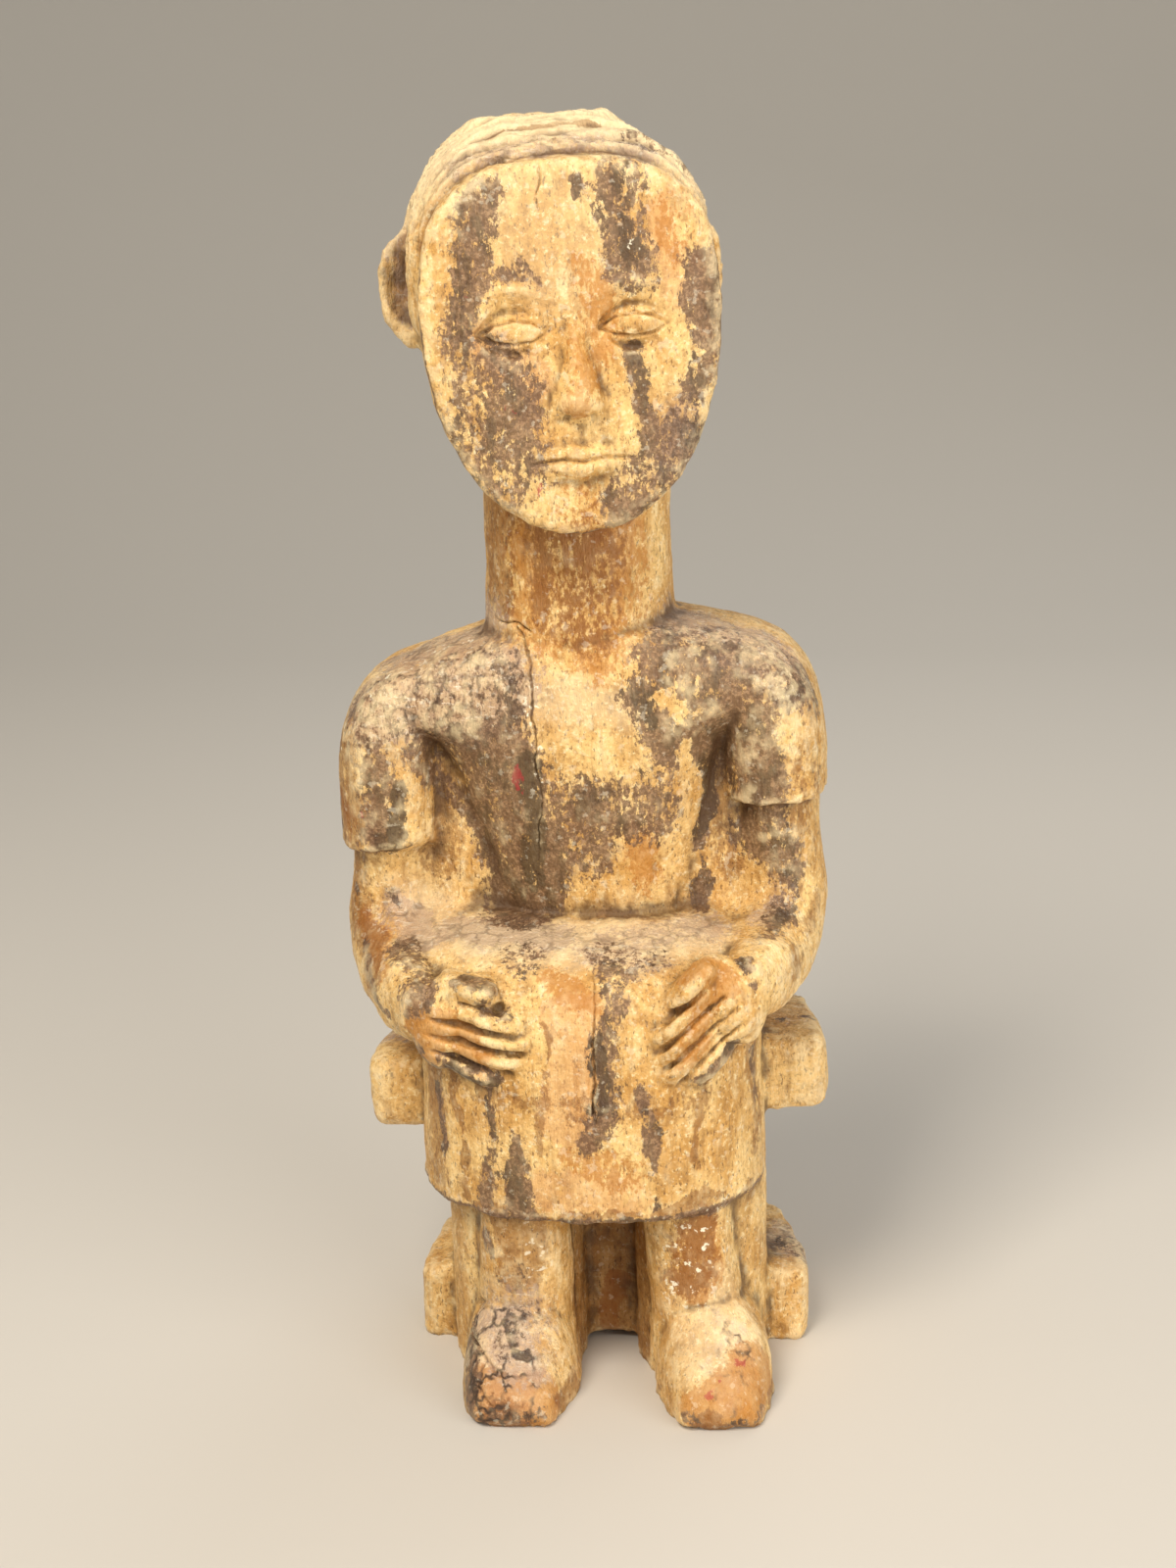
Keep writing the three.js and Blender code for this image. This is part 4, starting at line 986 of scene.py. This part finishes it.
finish = {
    "tones": {
        "paint": (102, 74, 54), "paintDeep": (43, 30, 21), "paintWorn": (161, 128, 97),
        "filmAndSheen": (178, 154, 138), "scratch": (240, 228, 208), "warm": (182, 116, 34),
        "rosy": (214, 158, 110), "bleachedAndHighlight": (246, 230, 194), "grimeAndShade": (150, 112, 62), "red": (168, 36, 48),
        "dirt": (78, 52, 28), "edge": (251, 230, 184), "plate": (228, 206, 186), "crazeLine": (54, 36, 24),
        "cream": (252, 245, 222),
    },
    "shares": {  # how far each tone covers what is below it
        "paint": 0.9, "paintDeep": 0.85, "paintWorn": 0.8, "filmAndSheen": 0.62, "scratch": 0.6, "warm": 0.68,
        "rosy": 0.36, "bleachedAndHighlight": 0.62, "grimeAndShade": 0.6, "red": 0.65, "dirt": 0.8, "edge": 0.6, "plate": 0.42,
        "crazeLine": 0.9, "cream": 0.9,
    },
    "breaks": {  # how far the edge of each mask is frayed and flecked
        "rosyWood": (1.2, 0.8), "crackled": (0.8, 0.4), "warmStainAndShade": (1.4, 1.8), "grimeAndShade": (1.2, 1.4),
        "dustFilmAndSheen": (1.6, 2.2), "darkPaint": (1.6, 3.4), "deepPaint": (1.2, 1.6), "redTrace": (1.6, 3.0),
    },
    "noises": {  # scale, detail and roughness
        "rubbed": (800, 3, 0.7), "cloudy": (190, 4, 0.65), "scratch": (900, 2, 0.6), "cream": (330, 3, 0.6),
        "edge": (260, 4), "dirt": (150, 3),
    },
    "scratchTurn": (0.0, 0.6, 0.4), "scratchDraw": (0.12, 1, 1), "cloudyStretch": 2.0,
    "filmSoft": 0.5, "paintHaze": 0.5, "paintClouds": 0.75, "filmCrazed": 0.6, "strayCream": 0.25,
    "dryness": 0.56, "polish": 0.22, "paintPolish": 0.35, "patchyGloss": 0.3,
    "relief": 0.8, "reliefDepth": 0.0006, "specular": 0.45,
}


def weatheredWood():
    material = bpy.data.materials.new("weatheredWood")
    material.use_nodes = True
    tree = material.node_tree
    shader = tree.nodes["Principled BSDF"]
    place = addNode(tree, "ShaderNodeTexCoord").outputs["Object"]
    tone = {name: colour(*value) for name, value in finish["tones"].items()}
    share = finish["shares"]

    def mask(name):
        return addNode(tree, "ShaderNodeAttribute", attribute_name=name).outputs["Fac"]

    def broken(name):
        fray, fleck = finish["breaks"][name]
        given = {"Mask": mask(name), "Place": place, "Fray": fray, "Fleck": fleck}
        return addNode(tree, "ShaderNodeGroup", given, node_tree=brokenEdge).outputs["Mask"]

    def cloud(name, low, high, places=place):
        return stepped(tree, noiseAt(tree, places, *finish["noises"][name]), low, high)

    def times(first, second):
        return maths(tree, "MULTIPLY", first, second)

    def most(first, second):
        return maths(tree, "MAXIMUM", first, second)

    def over(look, cover, name, blend="MIX"):  # one tone over the look so far
        return mixed(tree, times(cover, share[name]), look, tone[name], blend)

    wood = addNode(tree, "ShaderNodeGroup", {"Place": place}, node_tree=bareWood)
    rubbed = noiseAt(tree, place, *finish["noises"]["rubbed"])
    plates = broken("crackled")
    # paler bleached wood, with a painted highlight on the lap
    look = over(wood.outputs["Color"], mask("bleachedAndHighlight"), "bleachedAndHighlight")
    look = over(look, broken("rosyWood"), "rosy")
    look = over(look, plates, "plate")
    # ochre stains, and painted shade darkening the neck under the head
    look = over(look, broken("warmStainAndShade"), "warm")
    # grime, with painted shade between the legs, under the chin and lap, on the neck, along the hem and
    # along the right sole
    look = over(look, broken("grimeAndShade"), "grimeAndShade", "MULTIPLY")

    # grey film of dust and worn paint, its lilac grey also painted sheen on the shoulders, lap and arms
    filmAndSheen = broken("dustFilmAndSheen")
    filmMask = mask("dustFilmAndSheen")
    look = over(look, most(filmAndSheen, times(filmMask, finish["filmSoft"])), "filmAndSheen")
    drawn = {"Vector": place, "Rotation": finish["scratchTurn"], "Scale": finish["scratchDraw"]}
    hairlines = addNode(tree, "ShaderNodeMapping", drawn).outputs[0]
    look = over(look, times(filmMask, cloud("scratch", 0.6, 0.68, hairlines)), "scratch")

    paint = broken("darkPaint")
    haze = times(mask("darkPaint"), stepped(tree, rubbed, 0.4, 0.62))
    clouds = cloud("cloudy", 0.52, 0.4, stretched(tree, place, finish["cloudyStretch"]))
    worn = times(stepped(tree, rubbed, 0.46, 0.62), share["paintWorn"])
    paintTone = mixed(tree, worn, tone["paint"], tone["paintWorn"])
    paintTone = over(paintTone, most(times(clouds, finish["paintClouds"]), broken("deepPaint")), "paintDeep")
    cover = most(paint, times(haze, finish["paintHaze"]))
    look = mixed(tree, times(cover, share["paint"]), look, paintTone)

    lines = addNode(tree, "ShaderNodeGroup", {"Place": place}, node_tree=craze).outputs["Lines"]
    look = over(look, times(lines, most(plates, times(filmMask, finish["filmCrazed"]))), "crazeLine")
    look = over(look, broken("redTrace"), "red")
    flecked = most(mask("creamFlecks"), finish["strayCream"])
    look = over(look, times(flecked, cloud("cream", 0.6, 0.66)), "cream")
    look = over(look, times(mask("wornEdge"), cloud("edge", 0.36, 0.6)), "edge")
    dirt = times(mask("hollow"), cloud("dirt", 0.2, 0.6))
    look = over(look, dirt, "dirt")
    tree.links.new(look, shader.inputs["Base Color"])

    smoothness = most(filmAndSheen, times(paint, finish["paintPolish"]))
    polished = times(smoothness, maths(tree, "SUBTRACT", 1.0, dirt, True))
    roughness = addNode(
        tree, "ShaderNodeMapRange",
        {"Value": polished, "To Min": finish["dryness"], "To Max": finish["polish"]},
    ).outputs[0]
    patchy = times(maths(tree, "SUBTRACT", rubbed, 0.5), finish["patchyGloss"])
    tree.links.new(maths(tree, "ADD", roughness, patchy, True), shader.inputs["Roughness"])

    relief = {
        "Strength": finish["relief"], "Distance": finish["reliefDepth"], "Height": wood.outputs["Height"],
    }
    bump = addNode(tree, "ShaderNodeBump", relief)
    tree.links.new(bump.outputs["Normal"], shader.inputs["Normal"])
    shader.inputs["Specular IOR Level"].default_value = finish["specular"]
    return material


figure.data.materials.append(weatheredWood())
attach(figure, "root")
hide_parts("seated_figure")
print("finish on")

# Floor, light and camera

studio = {
    "paper": (206, 203, 198), "paperDryness": 0.85,
    "wide": 5.0, "near": -2.6, "far": 2.4, "high": 2.6, "cove": 1.4,
    "air": (242, 236, 225), "airStrength": 0.4,
    "key": {"place": (-0.4, -0.85, 1.35), "size": 0.6, "power": 20.5, "tint": (255, 243, 225)},
    "fill": {"place": (0.9, -0.9, 0.45), "size": 1.0, "power": 12, "tint": (255, 249, 240)},
    "rim": {"place": (0.5, 0.9, 1.1), "size": 0.8, "power": 3, "tint": (255, 255, 255)},
    "aim": (0, 0, 0.2),
}
view = {
    "place": (0.0652, -0.7233, 0.404), "lens": 54, "sensor": 36, "down": 16.3, "aside": 5, "roll": 1.9,
}


def makeFloor():  # a sheet of paper that curves up behind the figure
    bpy.ops.object.select_all(action="DESELECT")
    middle = (studio["near"] + studio["far"]) / 2
    bpy.ops.mesh.primitive_plane_add(size=1, location=(0, middle, 0))
    floor = bpy.context.object
    floor.name = "floor"
    floor.scale = (studio["wide"], studio["far"] - studio["near"], 1)
    bpy.ops.object.transform_apply(location=True, scale=True)

    def selectEdge(chosen):
        bpy.ops.object.mode_set(mode="EDIT")
        bpy.ops.mesh.select_mode(type="EDGE")
        bpy.ops.mesh.select_all(action="DESELECT")
        bpy.ops.object.mode_set(mode="OBJECT")
        for edge in floor.data.edges:
            edge.select = all(chosen(floor.data.vertices[i].co) for i in edge.vertices)
        bpy.ops.object.mode_set(mode="EDIT")

    selectEdge(lambda corner: corner.y > middle)
    bpy.ops.mesh.extrude_region_move(TRANSFORM_OT_translate={"value": (0, 0, studio["high"])})
    selectEdge(lambda corner: corner.y > middle and corner.z < 0.1)
    bpy.ops.mesh.bevel(offset=studio["cove"], segments=16, affect="EDGES")
    bpy.ops.object.mode_set(mode="OBJECT")
    bpy.ops.object.shade_smooth()
    paper = bpy.data.materials.new("palePaper")
    paper.use_nodes = True
    shader = paper.node_tree.nodes["Principled BSDF"]
    shader.inputs["Base Color"].default_value = (*colour(*studio["paper"]), 1)
    shader.inputs["Roughness"].default_value = studio["paperDryness"]
    floor.data.materials.append(paper)


def makeLight(name):
    values = studio[name]
    aim = Vector(studio["aim"]) - Vector(values["place"])
    turn = aim.to_track_quat("-Z", "Y").to_euler()
    bpy.ops.object.light_add(type="AREA", location=values["place"], rotation=turn)
    lamp = bpy.context.object
    lamp.name = name
    lamp.data.size = values["size"]
    lamp.data.energy = values["power"]
    lamp.data.color = colour(*values["tint"])


def makeCamera():
    bpy.ops.object.camera_add(location=view["place"])
    camera = bpy.context.object
    turn = Matrix.Rotation(math.radians(view["aside"]), 4, "Z")
    tip = Matrix.Rotation(math.radians(90 - view["down"]), 4, "X")
    roll = Matrix.Rotation(math.radians(-view["roll"]), 4, "Z")
    camera.matrix_world = Matrix.Translation(view["place"]) @ turn @ tip @ roll
    camera.data.lens = view["lens"]
    camera.data.sensor_width = view["sensor"]
    bpy.context.scene.camera = camera


makeFloor()
for lampName in ("key", "fill", "rim"):
    makeLight(lampName)
makeCamera()

air = bpy.data.worlds.new("air")
air.use_nodes = True
sky = air.node_tree.nodes["Background"]
sky.inputs["Color"].default_value = (*colour(*studio["air"]), 1)
sky.inputs["Strength"].default_value = studio["airStrength"]
bpy.context.scene.world = air
bpy.context.scene.view_settings.view_transform = "Standard"
print("studio ready")
